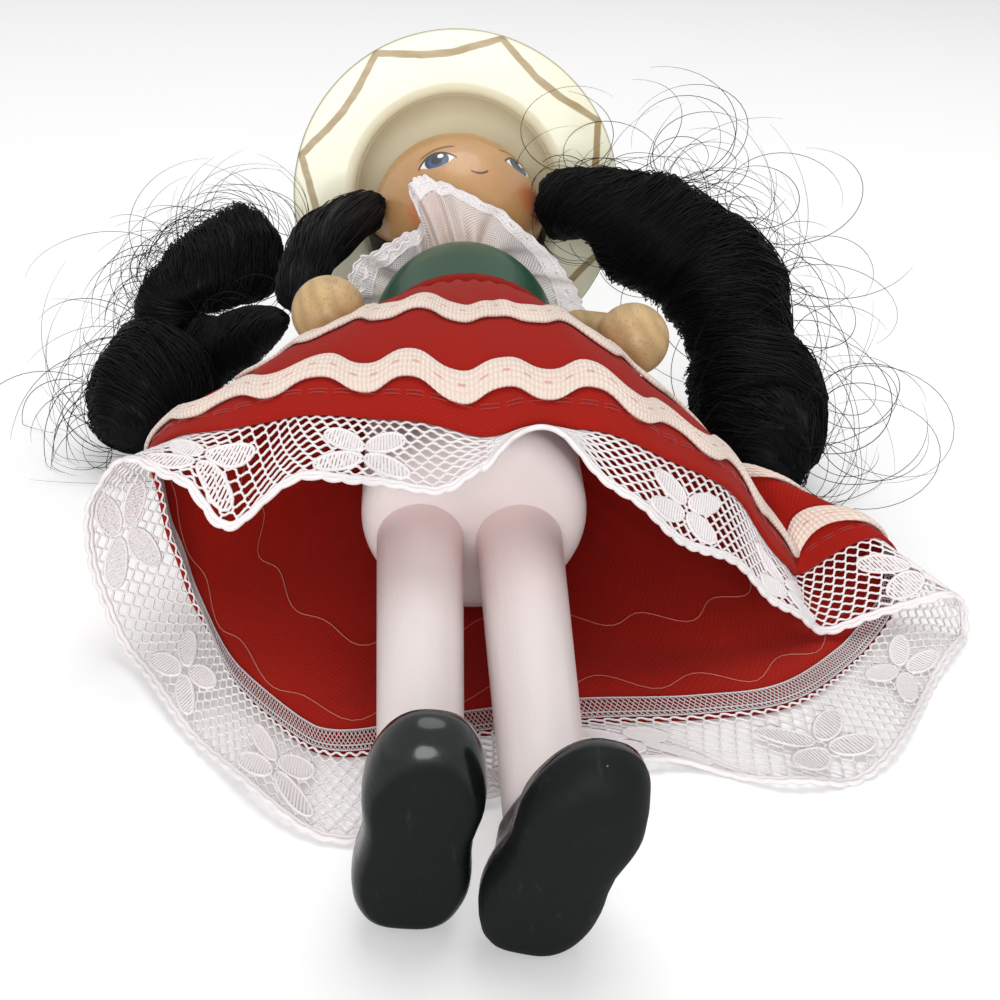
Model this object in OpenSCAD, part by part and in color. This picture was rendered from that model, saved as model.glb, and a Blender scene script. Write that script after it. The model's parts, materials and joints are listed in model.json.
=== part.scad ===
// Clothespin doll lying on its back: turned wooden pieces, a draped skirt with lace, and a curled wig.
// The doll is drawn standing, with its soles at height 0 and its face towards -Y, and then laid down.
// Soft pieces use points [across, height above the soles, towards the front].

/* [Peg body] */
// Diameter of the turned body
body_d = 25; // [23:0.5:27]
// Height of the hips' lower face above the soles
hip_h = 48; // [44:0.5:53]
// Length of the body from the hips to the start of the rounded shoulders
body_l = 44; // [42:0.5:48]
// Rise of the rounded shoulders
dome_h = 16; // [13:0.5:18]
// Rounding of the hips' lower edge
hip_round = 3; // [1:0.5:5]

/* [Legs and shoes] */
// Diameter of a leg at the hips
leg_top_d = 9.5; // [8:0.1:10.5]
// Diameter of a leg at the ankle
ankle_d = 7.6; // [6:0.1:8]
// From the body's axis to the left leg's axis, towards +X
left_leg_x = 4.9; // [4.8:0.1:6]
// From the body's axis to the right leg's axis, towards -X
right_leg_x = 6; // [5.4:0.1:6.2]
// How far the legs stand behind the body's axis
leg_back = 1.5; // [0:0.1:2]
// How much lower the left shoe stands than the right one
left_drop = 2; // [0:0.1:3]
// Diameter of the peg that holds a leg in the hips
tenon_d = 6; // [4:0.1:7]
// Length of that peg
tenon_l = 9; // [5:0.5:14]
// Length of a shoe
shoe_l = 22.2; // [20:0.1:24]
// Width of a shoe at the ball and at the heel
shoe_w = 9.8; // [9.4:0.1:10]
// Width of a shoe at the instep
instep_w = 8.9; // [8.6:0.1:9.2]
// From the leg's axis to the back of the heel
shoe_heel = 6.2; // [5.8:0.1:6.6]
// Height of a shoe at the ankle
shoe_h = 8.6; // [7.5:0.1:10]
// Height of a shoe at the toe
toe_h = 5.6; // [4.6:0.1:6.4]
// Wood left under the ankle socket
sole_t = 2.4; // [1.5:0.1:3.5]
// Turn of the left shoe's toe, towards +X
left_toe_turn = 17; // [10:1:18]
// Turn of the right shoe's toe, towards +X
right_toe_turn = 4; // [-10:1:8]

/* [Head and sombrero] */
// Diameter of the ball head
head_d = 26.8; // [25:0.2:29]
// Length of the neck that shows between the body and the head
neck_show = 11.6; // [10:0.2:16]
// Diameter of the neck dowel
neck_d = 10; // [8:0.2:12]
// Depth of the neck in the head
neck_in_head = 7; // [4:0.5:9]
// Diameter of the brim
brim_d = 52.4; // [48:0.2:58]
// Thickness of the sombrero's wall
hat_t = 1; // [0.8:0.1:1.4]
// Space between the head and the sombrero's lip
hat_ease = 2.9; // [2:0.1:4]
// Height of the brim above the head's centre, along the sombrero's axis
brim_above = 2.7; // [2:0.1:4]
// Backward tilt of the sombrero
hat_tilt = 16; // [8:1:20]
// Radius of the sombrero's flat top inside
crown_top_r = 8; // [6:0.5:9]
// Rounding where the brim turns up into the crown
lip_round = 2; // [1:0.2:2.6]

/* [Arms] */
// Diameter of an arm
arm_d = 6; // [5:0.1:6.6]
// From the shoulder's axis to the hand's centre
arm_l = 16; // [14:0.5:18]
// Diameter of a hand
hand_d = 9.3; // [8.6:0.1:10]
// From the hand's centre to the end of the arm inside it
hand_socket = 2.2; // [1.6:0.1:2.8]
// Outward splay of the left arm
left_splay = 19; // [14:1:22]
// Outward splay of the right arm
right_splay = 6; // [5:1:14]
// How far the left arm is raised forward at rest
left_raise = 24; // [18:1:30]
// How far the right arm is raised forward at rest
right_raise = 34; // [33:1:42]
// Diameter of the shoulder pin
pin_d = 3; // [2:0.1:3.6]
// Length of the shoulder pin inside an arm
pin_in_arm = 4.4; // [3:0.1:5]
// Height of the shoulder pin above the start of the shoulders
pin_rise = 3; // [1:0.1:3.6]

/* [Skirt and lace] */
// Height of the waist above the hips' lower face
waist_rise = 37; // [34:0.5:39]
// Height of the waist casing
casing_h = 2.6; // [2:0.1:3.4]
// Thickness of the waist casing
casing_t = 1.4; // [1.2:0.1:2]
// Height of the elastic in the casing
elastic_h = 1.2; // [0.8:0.1:1.4]
// Thickness of the elastic in the casing
elastic_t = 0.5; // [0.4:0.05:0.6]
// Thickness of the skirt's cloth
skirt_t = 0.5; // [0.4:0.05:0.7]
// How high the skirt's front puffs up over the body
skirt_puff = 4.5; // [2:0.5:6]
// How far the skirt's left side stands out
left_full = 4; // [1:0.5:5]
// How far the skirt's right side stands out
right_full = 5; // [1:0.5:6]
// Thickness of the lace
lace_t = 0.5; // [0.4:0.05:0.7]
// Width of the wavy braid
braid_w = 3.4; // [2.6:0.1:4]
// Thickness of the wavy braid
braid_t = 0.5; // [0.4:0.05:0.6]
// Height of a braid's wave, to each side
braid_wave = 1.2; // [0.6:0.1:1.6]
// Length of one wave of the braid
braid_pitch = 9; // [7:0.5:12]
// Distance of the lower braid from the skirt's edge
lower_braid_up = 7; // [6.5:0.5:9]
// Distance of the upper braid from the skirt's edge
upper_braid_up = 18.5; // [17:0.5:21]
// Radius of the collar's edge
collar_r = 15.5; // [13:0.5:16.5]
// Height of the collar's seat above the body's top
collar_rise = 1.6; // [1.2:0.2:3]
// How far the collar's edge falls over the shoulders
collar_fall = 5; // [3:0.5:6]
// How much the collar's front stands up
collar_stand = 9; // [6:0.5:10]
// Height of the collar's ruffles
collar_ruffle = 1.3; // [0.6:0.1:1.8]

/* [Hair] */
// Thickness of the wig's cap on the head
wig_t = 1.4; // [1:0.1:2]
// Depth of the twist along a ringlet, as a share of its radius
ringlet_twist = 0.1; // [0.04:0.02:0.14]

/* [Fits and rest] */
// Radial gap of a glued joint
glue_gap = 0.05; // [0.02:0.01:0.1]
// Radial gap of an arm on the shoulder pin
run_gap = 0.05; // [0.02:0.01:0.1]
// Gap between soft pieces and their neighbours
cloth_gap = 0.3; // [0.2:0.05:0.4]
// Gap between the skirt's edge and its lace
hem_gap = 0.45; // [0.3:0.05:0.6]
// Angle between the doll's axis and the floor
recline = 8.8; // [8:0.1:9.6]

/* [Hidden] */
$fn = 64;

body_r = body_d / 2;
head_r = head_d / 2;
neck_r = neck_d / 2;
hand_r = hand_d / 2;
arm_r = arm_d / 2;
shoulder_h = hip_h + body_l;
pin_h = shoulder_h + pin_rise;
body_top = shoulder_h + dome_h;
head_h = body_top + neck_show + head_r;
neck_foot = pin_h + pin_d / 2 + 1;
neck_top = head_h - head_r + neck_in_head;
arm_x = body_r + cloth_gap + arm_r;
pin_half = arm_x - arm_r + pin_in_arm;
waist_h = hip_h + waist_rise;
skirt_top_h = waist_h - casing_h - cloth_gap;
skirt_r = body_r + cloth_gap + skirt_t / 2;
collar_h = body_top + collar_rise;
rest_h = (leg_back + shoe_heel) * cos(recline) + left_drop * sin(recline);

// The sombrero's own frame: its axis leans back, and the head's back touches the crown
hat_shift = hat_ease - cloth_gap / 2;
recess_r = head_r + hat_ease;
crown_in_h = head_r - brim_above + glue_gap * 2;
hat_centre = [0, head_h + brim_above * cos(hat_tilt) + hat_shift * sin(hat_tilt),
    hat_shift * cos(hat_tilt) - brim_above * sin(hat_tilt)];
crown_far = hat_centre + [0, (crown_in_h + hat_t) * cos(hat_tilt) + crown_top_r * sin(hat_tilt),
    crown_top_r * cos(hat_tilt) - (crown_in_h + hat_t) * sin(hat_tilt)];

// The middle of the doll's width and of its length on the floor, which are the origin
mid_x = 2;
floor_y = function (p) p[1] * cos(recline) - p[2] * sin(recline);
toe_point = [0, -left_drop, shoe_l - shoe_heel - leg_back];
mid_y = (floor_y(toe_point) + floor_y(crown_far)) / 2;

// Skirt edge, clockwise from the front, as [across, above the hips, towards the front]
hem_points = [
    [0, -3.5, 13.9], [6, -1.5, 14.1], [13, -1, 12.7], [21, 0, 8.7], [30, 3, 1.5], [36, 3, -6.5],
    [39.5, 6, -10.5], [47, 6, -5], [51.5, 5.5, -11], [46, -3, -14], [35, -14, -13.5], [24, -17, -13],
    [10, -18, -13], [-4, -21, -12.5], [-15, -23, -11.5], [-24, -14, -11.5], [-30, -2, -11], [-33.5, 4, -6],
    [-35, 7, 1], [-33.5, 6, 7], [-28, 3, 10.5], [-22, 2, 12.2], [-15, 1.5, 13.4], [-8, -0.5, 13.9]];
// Edge of the lace below it, in the same order
lace_points = [
    [0, -8.5, 13.6], [5.5, -3.5, 15.6], [12, -7.5, 12.2], [19, -9, 6.5], [29, -5, -2], [36, -4, -9],
    [43, -2, -12.5], [54.5, 0, -9], [58.5, 0, -14.2], [52, -9, -13.2], [41, -25, -10.8], [31, -28.5, -10.3],
    [19, -25, -10.6], [2, -30, -9.6], [-14, -36, -8.8], [-27, -23, -10.5], [-36.5, -8, -12.5],
    [-41, -2, -8], [-42, 1, 0], [-38.5, 1, 7], [-31.5, -3, 8.5], [-26, -6, 4.5], [-17, -5, 10],
    [-7, -10.5, 13.5]];
fold_count = len(hem_points);
skirt_columns = 72;
skirt_rows = 7;
// Scale that lets the sides' fullness peak at one, two thirds of the way down
side_scale = 27 / 4;
lace_rows = 3;
hip_fade = 14;
hip_keep = 6;

// Routes of the hair from its root, as [across, above the head's centre, towards the front]
face_lock_root = [-12, -11, 7];
face_lock_route = [[-18, -20.5, 6.4], [-21, -29, 4], [-23.3, -35, 1.6]];
face_lock_radii = [4.3, 4, 2.2];
right_upper_route = [[-29, -5, -2.3], [-33, -8.5, -2.6], [-39, -15, -3.6], [-44.5, -19.5, -4.8]];
right_upper_radii = [5.2, 6.6, 6.2, 2.4];
right_lower_route = [[-24.6, -33.6, -0.8], [-33, -25.5, -9], [-41.5, -24, -14],
    [-45.5, -35, -14], [-47, -42, -15.5]];
right_lower_radii = [2, 4, 8.4, 8.6, 4.5];
left_root = [15.5, -5.5, 5];
left_route = [[20.5, -13, 8.5], [30, -16, 6.5], [38, -20, 3], [41, -27, -3.5], [42, -36, -9.5],
    [41.5, -46, -12.5], [41, -55, -13]];
left_radii = [6.2, 9.4, 10.2, 9, 9.4, 9.2, 5.5];
root_r = 2.5;
root_l = 4;
root_gap = 0.8;
tube_sides = 10;
rings_per_step = 4;
twist_turn = 55;
hair_low = 0.1;

// A point of the doll where it lies
function laid(p) =
    [p[0] - mid_x, floor_y(p) - mid_y, rest_h + p[1] * sin(recline) + p[2] * cos(recline)];
// The same, kept at least a given height above the floor
function lifted(p, low) = let (q = laid(p)) [q[0], q[1], max(q[2], low)];
function unit(v) = v / norm(v);
function smooth(t) = let (c = min(max(t, 0), 1)) c * c * (3 - 2 * c);
function wrap(list, i) = list[(i + len(list)) % len(list)];
function curve(a, b, c, d, t) =
    (2 * b + (c - a) * t + (2 * a - 5 * b + 4 * c - d) * t * t + (3 * b - a - 3 * c + d) * t * t * t) / 2;
// A smooth closed line through points, at a place counted in points
function closed_line(points, u) = let (i = floor(u))
    curve(wrap(points, i - 1), wrap(points, i), wrap(points, i + 1), wrap(points, i + 2), u - i);
// A smooth open line through points or radii
function open_line(points, u) = let (last = len(points) - 1, i = min(floor(u), last - 1))
    curve(points[max(i - 1, 0)], points[i], points[i + 1], points[min(i + 2, last)], u - i);

// Keeps cloth outside the body, from the hips up
function round_body(p) = let (
    need = skirt_r * smooth((p[1] - hip_h + hip_keep + hip_fade) / hip_fade),
    far = norm([p[0], p[2]]),
    grow = max(need / far, 1))
    [p[0] * grow, p[1], p[2] * grow];
// Height of the hips takes the skirt's edge along
function above_hips(p) = p + [0, hip_h, 0];
// The skirt's middle surface: u counts the folds, v runs from the waist to the edge
function skirt_point(u, v) = let (
    turn = 360 * u / fold_count,
    waist = [skirt_r * sin(turn), skirt_top_h, skirt_r * cos(turn)],
    hem = above_hips(closed_line(hem_points, u)),
    side = (sin(turn) > 0 ? left_full : right_full) * side_scale * v * v * (1 - v) * sin(turn),
    front = skirt_puff * 4 * v * (1 - v) * pow(max(cos(turn), 0), 2))
    lifted(round_body(waist + (hem - waist) * v + [side, 0, front]),
        skirt_t / 2 + cloth_gap + (braid_t + 2 * cloth_gap) * smooth((1 - v) * skirt_rows));
// Length of the skirt along one fold
function skirt_length(u) = norm(skirt_point(u, 1) - skirt_point(u, 0));
// The skirt's outward direction
function skirt_out(u, v) = let (step = 0.05)
    unit(cross(skirt_point(u, v + step) - skirt_point(u, v - step),
        skirt_point(u + step, v) - skirt_point(u - step, v)));
// The lace goes on from the skirt's edge, clear of it
function lace_point(u, w) = let (
    hem = above_hips(closed_line(hem_points, u)),
    edge = above_hips(closed_line(lace_points, u)),
    start = hem_gap / norm(edge - hem))
    lifted(round_body(hem + (edge - hem) * (start + (1 - start) * w)), lace_t / 2);
// Middle line of a braid, which waves about a line that runs along the skirt's edge
function braid_point(u, up, wave, side) = let (
    v = 1 - (up + wave * braid_wave + side * braid_w / 2) / skirt_length(u))
    skirt_point(u, v) + skirt_out(u, v) * (skirt_t / 2 + braid_t / 2 + cloth_gap);
// The collar: gathered at the neck, falling over the shoulders, with its front standing up
function collar_point(turn, v) = let (
    seat = neck_r + cloth_gap + lace_t / 2,
    r = seat + (collar_r - seat) * v,
    front = pow(max(cos(turn), 0), 2),
    rise = collar_stand * front * v - collar_fall * (1 - front) * v * v,
    ruffle = collar_ruffle * v * sin(9 * turn))
    laid([r * sin(turn), collar_h + rise + ruffle, r * cos(turn)]);

// Closed thin cloth from a grid of points: rows of the grid are closed rings
module ring_cloth(grid, thick) {
    n = len(grid);
    m = len(grid[0]);
    normals = [for (i = [0:n - 1]) [for (j = [0:m - 1])
        unit(cross(grid[(i + 1) % n][j] - grid[(i + n - 1) % n][j],
            grid[i][min(j + 1, m - 1)] - grid[i][max(j - 1, 0)]))]];
    layer = function (side) [for (i = [0:n - 1]) for (j = [0:m - 1])
        grid[i][j] + normals[i][j] * side * thick / 2];
    at = function (i, j, side) side * n * m + (i % n) * m + j;
    quad = function (a, b, c, d) [[a, b, c], [a, c, d]];
    faces = [for (i = [0:n - 1]) each concat(
        [for (j = [0:m - 2]) each concat(
            quad(at(i, j, 0), at(i, j + 1, 0), at(i + 1, j + 1, 0), at(i + 1, j, 0)),
            quad(at(i, j, 1), at(i + 1, j, 1), at(i + 1, j + 1, 1), at(i, j + 1, 1)))],
        quad(at(i, 0, 0), at(i + 1, 0, 0), at(i + 1, 0, 1), at(i, 0, 1)),
        quad(at(i + 1, m - 1, 0), at(i, m - 1, 0), at(i, m - 1, 1), at(i + 1, m - 1, 1)))];
    polyhedron(concat(layer(1), layer(-1)), faces);
}

// A point above the head's surface in the given direction
function off_head(from, up) = unit(from) * (head_r + up);
// A lock of hair: a tube along a route, with a twist along it
module lock(route, radii) {
    last = len(route) - 1;
    rings = last * rings_per_step;
    from_head = function (u) open_line(route, u) + [0, head_h, 0];
    middle = [for (k = [0:rings]) let (u = k / rings_per_step)
        lifted(from_head(u), open_line(radii, u))];
    point = function (k, j) let (
        t = unit(middle[min(k + 1, rings)] - middle[max(k - 1, 0)]),
        a = unit(cross(t, [0, 0, 1])),
        b = cross(t, a),
        turn = 360 * j / tube_sides,
        r = open_line(radii, k / rings_per_step) * (1 + ringlet_twist * sin(2 * turn - twist_turn * k)),
        q = middle[k] + (a * cos(turn) + b * sin(turn)) * r)
        [q[0], q[1], max(q[2], hair_low)];
    points = [for (k = [0:rings]) for (j = [0:tube_sides - 1]) point(k, j)];
    at = function (k, j) k * tube_sides + j % tube_sides;
    sides = [for (k = [0:rings - 1]) for (j = [0:tube_sides - 1]) each
        [[at(k, j), at(k + 1, j), at(k + 1, j + 1)], [at(k, j), at(k + 1, j + 1), at(k, j + 1)]]];
    ends = [for (j = [1:tube_sides - 2]) each
        [[at(0, 0), at(0, j), at(0, j + 1)], [at(rings, 0), at(rings, j + 1), at(rings, j)]]];
    polyhedron(points, concat(sides, ends));
}

// Lays the standing doll on its back
module lay() {
    translate([-mid_x, -mid_y, rest_h]) rotate([recline - 90, 0, 0]) children();
}
// Moves to a point [across, height, towards the front] of the standing doll
module at(p) {
    translate([p[0], -p[2], p[1]]) children();
}
// Turns the sombrero's own frame into place
module on_head() {
    at(hat_centre) rotate([-hat_tilt, 0, 0]) children();
}
// Turns an arm's own frame into place: it hangs along -Z from the shoulder pin
module on_shoulder(side) {
    raise = side > 0 ? left_raise : right_raise;
    splay = side > 0 ? left_splay : right_splay;
    at([side * arm_x, pin_h, 0]) rotate([-raise, 0, 0]) rotate([0, -side * splay, 0]) children();
}
// Moves to the sole under a leg
function drop(side) = side > 0 ? left_drop : 0;
module on_leg(side) {
    at([side > 0 ? left_leg_x : -right_leg_x, -drop(side), -leg_back]) children();
}

body_steps = 8;
hip_arc = [for (i = [0:body_steps]) let (a = 90 * i / body_steps)
    [body_r - hip_round + hip_round * sin(a), hip_h + hip_round - hip_round * cos(a)]];
dome_arc = [for (i = [0:body_steps]) let (a = 90 * i / body_steps)
    [body_r * cos(a), shoulder_h + dome_h * sin(a)]];

// Turned peg body with its leg, neck and shoulder holes
module body() color("darkgreen") lay() difference() {
    rotate_extrude() polygon(concat([[0, hip_h]], hip_arc, dome_arc));
    for (side = [-1, 1])
        on_leg(side) translate([0, 0, hip_h + drop(side) - 1])
            cylinder(d = tenon_d + 2 * glue_gap, h = tenon_l + 1 + glue_gap);
    translate([0, 0, neck_foot - glue_gap]) cylinder(r = neck_r + glue_gap, h = body_top);
    translate([-body_d, 0, pin_h]) rotate([0, 90, 0]) cylinder(d = pin_d + 2 * glue_gap, h = 2 * body_d);
}

// Neck dowel, glued into the body and the head
module neck() color("burlywood") lay()
    translate([0, 0, neck_foot]) cylinder(r = neck_r, h = neck_top - neck_foot);

// Ball head with the neck's hole
module head() color("tan") lay() difference() {
    translate([0, 0, head_h]) sphere(head_r);
    translate([0, 0, head_h - 2 * head_r])
        cylinder(r = neck_r + glue_gap, h = neck_top + glue_gap - head_h + 2 * head_r);
}

crown_steps = 6;
// Inside of the crown, from the lip to the flat top, grown outwards by a wall
function crown_arc(wall) = [for (i = [0:crown_steps]) let (a = 90 * i / crown_steps)
    [crown_top_r + wall + (recess_r - crown_top_r) * cos(a), (crown_in_h + wall) * sin(a)]];
lip_arc = [for (i = [0:crown_steps]) let (a = 90 * i / crown_steps)
    [recess_r + lip_round - lip_round * sin(a), lip_round - lip_round * cos(a)]];

// Sombrero: one turned wall, a flat brim and a round crown
module sombrero() color("cornsilk") lay() on_head() difference() {
    rotate_extrude() polygon(concat([[0, 0], [brim_d / 2, 0], [brim_d / 2, hat_t]],
        [[recess_r + lip_round, hat_t]],
        [for (p = crown_arc(hat_t)) if (p[1] > lip_round) p], [[0, crown_in_h + hat_t]]));
    rotate_extrude() polygon(concat([[0, -1], [recess_r + lip_round, -1]], lip_arc,
        [for (p = crown_arc(0)) if (p[1] > lip_round) p], [[0, crown_in_h]]));
}

// Tapered leg with its peg in the hips and its ankle in the shoe
module leg(side) color("white") lay() on_leg(side) {
    leg_top = hip_h + drop(side) - glue_gap;
    translate([0, 0, sole_t]) cylinder(d = ankle_d, h = shoe_h - sole_t);
    translate([0, 0, shoe_h]) cylinder(d1 = ankle_d, d2 = leg_top_d, h = leg_top - shoe_h);
    translate([0, 0, leg_top]) cylinder(d = tenon_d, h = tenon_l);
}

// A round pad of a shoe, towards the toe by a given length
module pad(toe, w, foot, top, top_w) {
    translate([0, -toe, foot]) cylinder(d1 = w, d2 = top_w, h = top - foot, $fn = 32);
}
// Carved shoe: a rounded toe, an instep and a heel round the ankle's socket
module shoe(side, toe_turn) color([0.1, 0.11, 0.11]) lay() on_leg(side) rotate([0, 0, toe_turn]) {
    ball = shoe_l - shoe_heel - shoe_w / 2;
    heel = shoe_w / 2 - shoe_heel;
    side_h = toe_h * 0.5;
    difference() {
        union() {
            hull() {
                pad(ball, shoe_w, 0, side_h, shoe_w);
                pad(ball, shoe_w, side_h, toe_h, shoe_w * 0.5);
                pad(ball / 3, instep_w, 0, toe_h, instep_w);
            }
            hull() {
                pad(heel, shoe_w, 0, toe_h, shoe_w);
                pad(0, shoe_w, toe_h, shoe_h, shoe_w * 0.94);
                pad(ball / 3, instep_w, 0, toe_h, instep_w);
            }
        }
        translate([0, 0, sole_t - glue_gap]) cylinder(d = ankle_d + 2 * glue_gap, h = shoe_h);
    }
}

// Pin through the shoulders, on which the arms turn
module shoulder_pin() color("burlywood") lay()
    translate([-pin_half, 0, pin_h]) rotate([0, 90, 0]) cylinder(d = pin_d, h = 2 * pin_half);

// Arm: a dowel with a round shoulder and the pin's blind hole
module arm(side) color("burlywood") lay() difference() {
    on_shoulder(side) {
        sphere(arm_r);
        translate([0, 0, hand_socket - arm_l]) cylinder(r = arm_r, h = arm_l - hand_socket);
    }
    at([0, pin_h, 0]) rotate([0, side * 90, 0])
        cylinder(d = pin_d + 2 * run_gap, h = pin_half + run_gap * 4);
}

// Ball hand, glued on the arm's end
module hand(side) color("burlywood") lay() on_shoulder(side) difference() {
    translate([0, 0, -arm_l]) sphere(hand_r);
    translate([0, 0, hand_socket - glue_gap - arm_l]) cylinder(r = arm_r + glue_gap, h = arm_l);
}

// Folded casing round the waist, with a channel for the elastic
module waist_casing() color("firebrick") lay() rotate_extrude() difference() {
    translate([body_r + cloth_gap / 2, waist_h - casing_h]) square([casing_t, casing_h]);
    translate([body_r + cloth_gap / 2 + (casing_t - elastic_t) / 2 - glue_gap,
        waist_h - (casing_h + elastic_h) / 2 - glue_gap])
        square([elastic_t + 2 * glue_gap, elastic_h + 2 * glue_gap]);
}
module waist_elastic() color("white") lay() rotate_extrude()
    translate([body_r + cloth_gap / 2 + (casing_t - elastic_t) / 2, waist_h - (casing_h + elastic_h) / 2])
        square([elastic_t, elastic_h]);

// Skirt: one thin draped cloth from the waist to its edge
module skirt() color("firebrick")
    ring_cloth([for (i = [0:skirt_columns - 1]) [for (j = [0:skirt_rows - 1])
        skirt_point(fold_count * i / skirt_columns, j / (skirt_rows - 1))]], skirt_t);

// Wavy braid that runs round the skirt
module braid(up) {
    around = [for (k = [0:skirt_columns - 1]) let (u = fold_count * k / skirt_columns)
        norm(braid_point(u + fold_count / skirt_columns, up, 0, 0) - braid_point(u, up, 0, 0))];
    total = [for (s = 0, k = 0; k <= skirt_columns; s = s + (k < skirt_columns ? around[k] : 0), k = k + 1)
        s];
    waves = round(total[skirt_columns] / braid_pitch);
    steps = waves * 6;
    // Even steps along the braid's own length
    even = [for (k = [0:steps - 1]) lookup(total[skirt_columns] * k / steps,
        [for (i = [0:skirt_columns]) [total[i], fold_count * i / skirt_columns]])];
    color("antiquewhite") ring_cloth([for (k = [0:steps - 1]) [for (side = [1, -1])
        braid_point(even[k], up, sin(360 * waves * k / steps), side)]], braid_t);
}

// Lace sewn to the skirt's edge, with its folds
module lace_hem() color("snow")
    ring_cloth([for (i = [0:skirt_columns - 1]) [for (j = [0:lace_rows - 1])
        lace_point(fold_count * i / skirt_columns, j / (lace_rows - 1))]], lace_t);

// Gathered lace round the neck
module lace_collar() color("snow")
    ring_cloth([for (i = [0:skirt_columns - 1]) [for (j = [0:lace_rows - 1])
        collar_point(360 * i / skirt_columns, j / (lace_rows - 1))]], lace_t);

// Cap of hair on the back of the head, below the sombrero
module wig_cap() color([0.07, 0.07, 0.08]) lay() difference() {
    translate([0, 0, head_h]) sphere(head_r + cloth_gap / 2 + wig_t);
    translate([0, 0, head_h]) sphere(head_r + cloth_gap / 2);
    translate([0, 0, head_h - head_r]) cylinder(r = neck_r + cloth_gap + wig_t, h = head_r, center = true);
    on_head() translate([0, 0, 2 * head_r - cloth_gap]) cube(4 * head_r, center = true);
    translate([-2 * head_r, -4 * head_r, head_h - 2 * head_r]) cube(4 * head_r);
}

// A lock that grows from the head's side
module rooted_lock(root, route, radii) {
    lock(concat([off_head(root, root_gap), off_head(root, root_l)], route),
        concat([root_r, root_r], radii));
}
module right_face_lock() color([0.07, 0.07, 0.08])
    rooted_lock(face_lock_root, face_lock_route, face_lock_radii);
module right_upper_ringlet() color([0.07, 0.07, 0.08])
    lock(right_upper_route, right_upper_radii);
module right_lower_ringlet() color([0.07, 0.07, 0.08])
    lock(right_lower_route, right_lower_radii);
module left_ringlet() color([0.07, 0.07, 0.08])
    rooted_lock(left_root, left_route, left_radii);

body();
neck();
head();
sombrero();
leg(1);  // left_leg
leg(-1);  // right_leg
shoe(1, left_toe_turn);  // left_shoe
shoe(-1, right_toe_turn);  // right_shoe
shoulder_pin();
arm(1);  // left_arm
arm(-1);  // right_arm
hand(1);  // left_hand
hand(-1);  // right_hand
waist_casing();
waist_elastic();
skirt();
braid(upper_braid_up);  // upper_braid
braid(lower_braid_up);  // lower_braid
lace_hem();
lace_collar();
wig_cap();
right_face_lock();
right_upper_ringlet();
right_lower_ringlet();
left_ringlet();
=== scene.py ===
"""A clothespin doll lying on its back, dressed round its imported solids."""

import bisect
import json
import math
import random

import bmesh
import bpy
from bpy.props import FloatProperty, FloatVectorProperty, IntProperty, PointerProperty
from mathutils import Matrix, Vector, noise


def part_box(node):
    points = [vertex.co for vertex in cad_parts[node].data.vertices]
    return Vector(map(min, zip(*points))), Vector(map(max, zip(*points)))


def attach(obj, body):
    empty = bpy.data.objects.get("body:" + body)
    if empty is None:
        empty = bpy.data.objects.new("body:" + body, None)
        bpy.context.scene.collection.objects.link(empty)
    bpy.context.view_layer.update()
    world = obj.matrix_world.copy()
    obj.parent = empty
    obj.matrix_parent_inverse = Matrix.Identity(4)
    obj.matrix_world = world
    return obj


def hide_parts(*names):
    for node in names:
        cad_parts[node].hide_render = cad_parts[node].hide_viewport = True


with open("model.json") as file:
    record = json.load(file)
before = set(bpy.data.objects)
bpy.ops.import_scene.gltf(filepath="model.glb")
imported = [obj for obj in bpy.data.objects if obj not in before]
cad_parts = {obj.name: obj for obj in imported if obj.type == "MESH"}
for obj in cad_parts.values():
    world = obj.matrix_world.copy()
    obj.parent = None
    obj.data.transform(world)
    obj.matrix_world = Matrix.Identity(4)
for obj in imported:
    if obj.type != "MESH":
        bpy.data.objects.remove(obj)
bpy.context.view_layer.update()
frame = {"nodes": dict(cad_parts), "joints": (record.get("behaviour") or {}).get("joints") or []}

bl_info = {
    "name": "Clothespin doll",
    "version": (1, 0, 0),
    "blender": (4, 5, 0),
    "location": "3D View > Sidebar > Doll",
    "description": "Paint, clothes, lace and hair for a wooden clothespin doll",
    "category": "Object",
}

MM = 0.001
TAU = math.tau

# The doll is drawn standing, in mm: x across, y up from the soles, z towards its front.
RECLINE = math.radians(8.8)
PIN_END = Vector((15.8, 95.0, 0.0))
HIP_H = 48.0
HIP_ROUND = 3.0
BODY_R = 12.5
SHOULDER_H = 92.0
DOME_H = 16.0
HEAD = Vector((0.0, 133.0, 0.0))
HEAD_R = 13.4

# Skirt and lace edges: [across, above the hips, towards the front], clockwise from the front.
HEM = [
    (0, -3.5, 13.9), (6, -1.5, 14.1), (13, -1, 12.7), (21, 0, 8.7), (30, 3, 1.5), (36, 3, -6.5),
    (39.5, 6, -10.5), (47, 6, -5), (51.5, 5.5, -11), (46, -3, -14), (35, -14, -13.5), (24, -17, -13),
    (10, -18, -13), (-4, -21, -12.5), (-15, -23, -11.5), (-24, -14, -11.5), (-30, -2, -11), (-33.5, 4, -6),
    (-35, 7, 1), (-33.5, 6, 7), (-28, 3, 10.5), (-22, 2, 12.2), (-15, 1.5, 13.4), (-8, -0.5, 13.9)]
LACE = [
    (0, -8.8, 13.2), (5.5, -3.5, 15.6), (12, -7.5, 12.2), (19, -9, 6.5), (29, -5, -2), (36, -4, -9),
    (43, -2, -12.5), (54.5, 0, -9), (58.5, 0, -14.2), (52, -9, -13.2), (41, -25, -10.8), (31, -28.5, -10.3),
    (19, -25, -10.6), (2, -30, -9.6), (-14, -36, -8.8), (-27, -23, -10.5), (-36.5, -8, -12.5), (-41, -2, -8),
    (-42, 1, 0), (-38.5, 1, 7), (-31.5, -3, 8.5), (-26, -6, 4.5), (-17, -5, 10), (-7, -11, 12.2)]
FOLDS = len(HEM)
SKIRT_R = 13.05
SKIRT_TOP = 82.1
SKIRT_PUFF = 4.5
LEFT_FULL = 4.0
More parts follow.
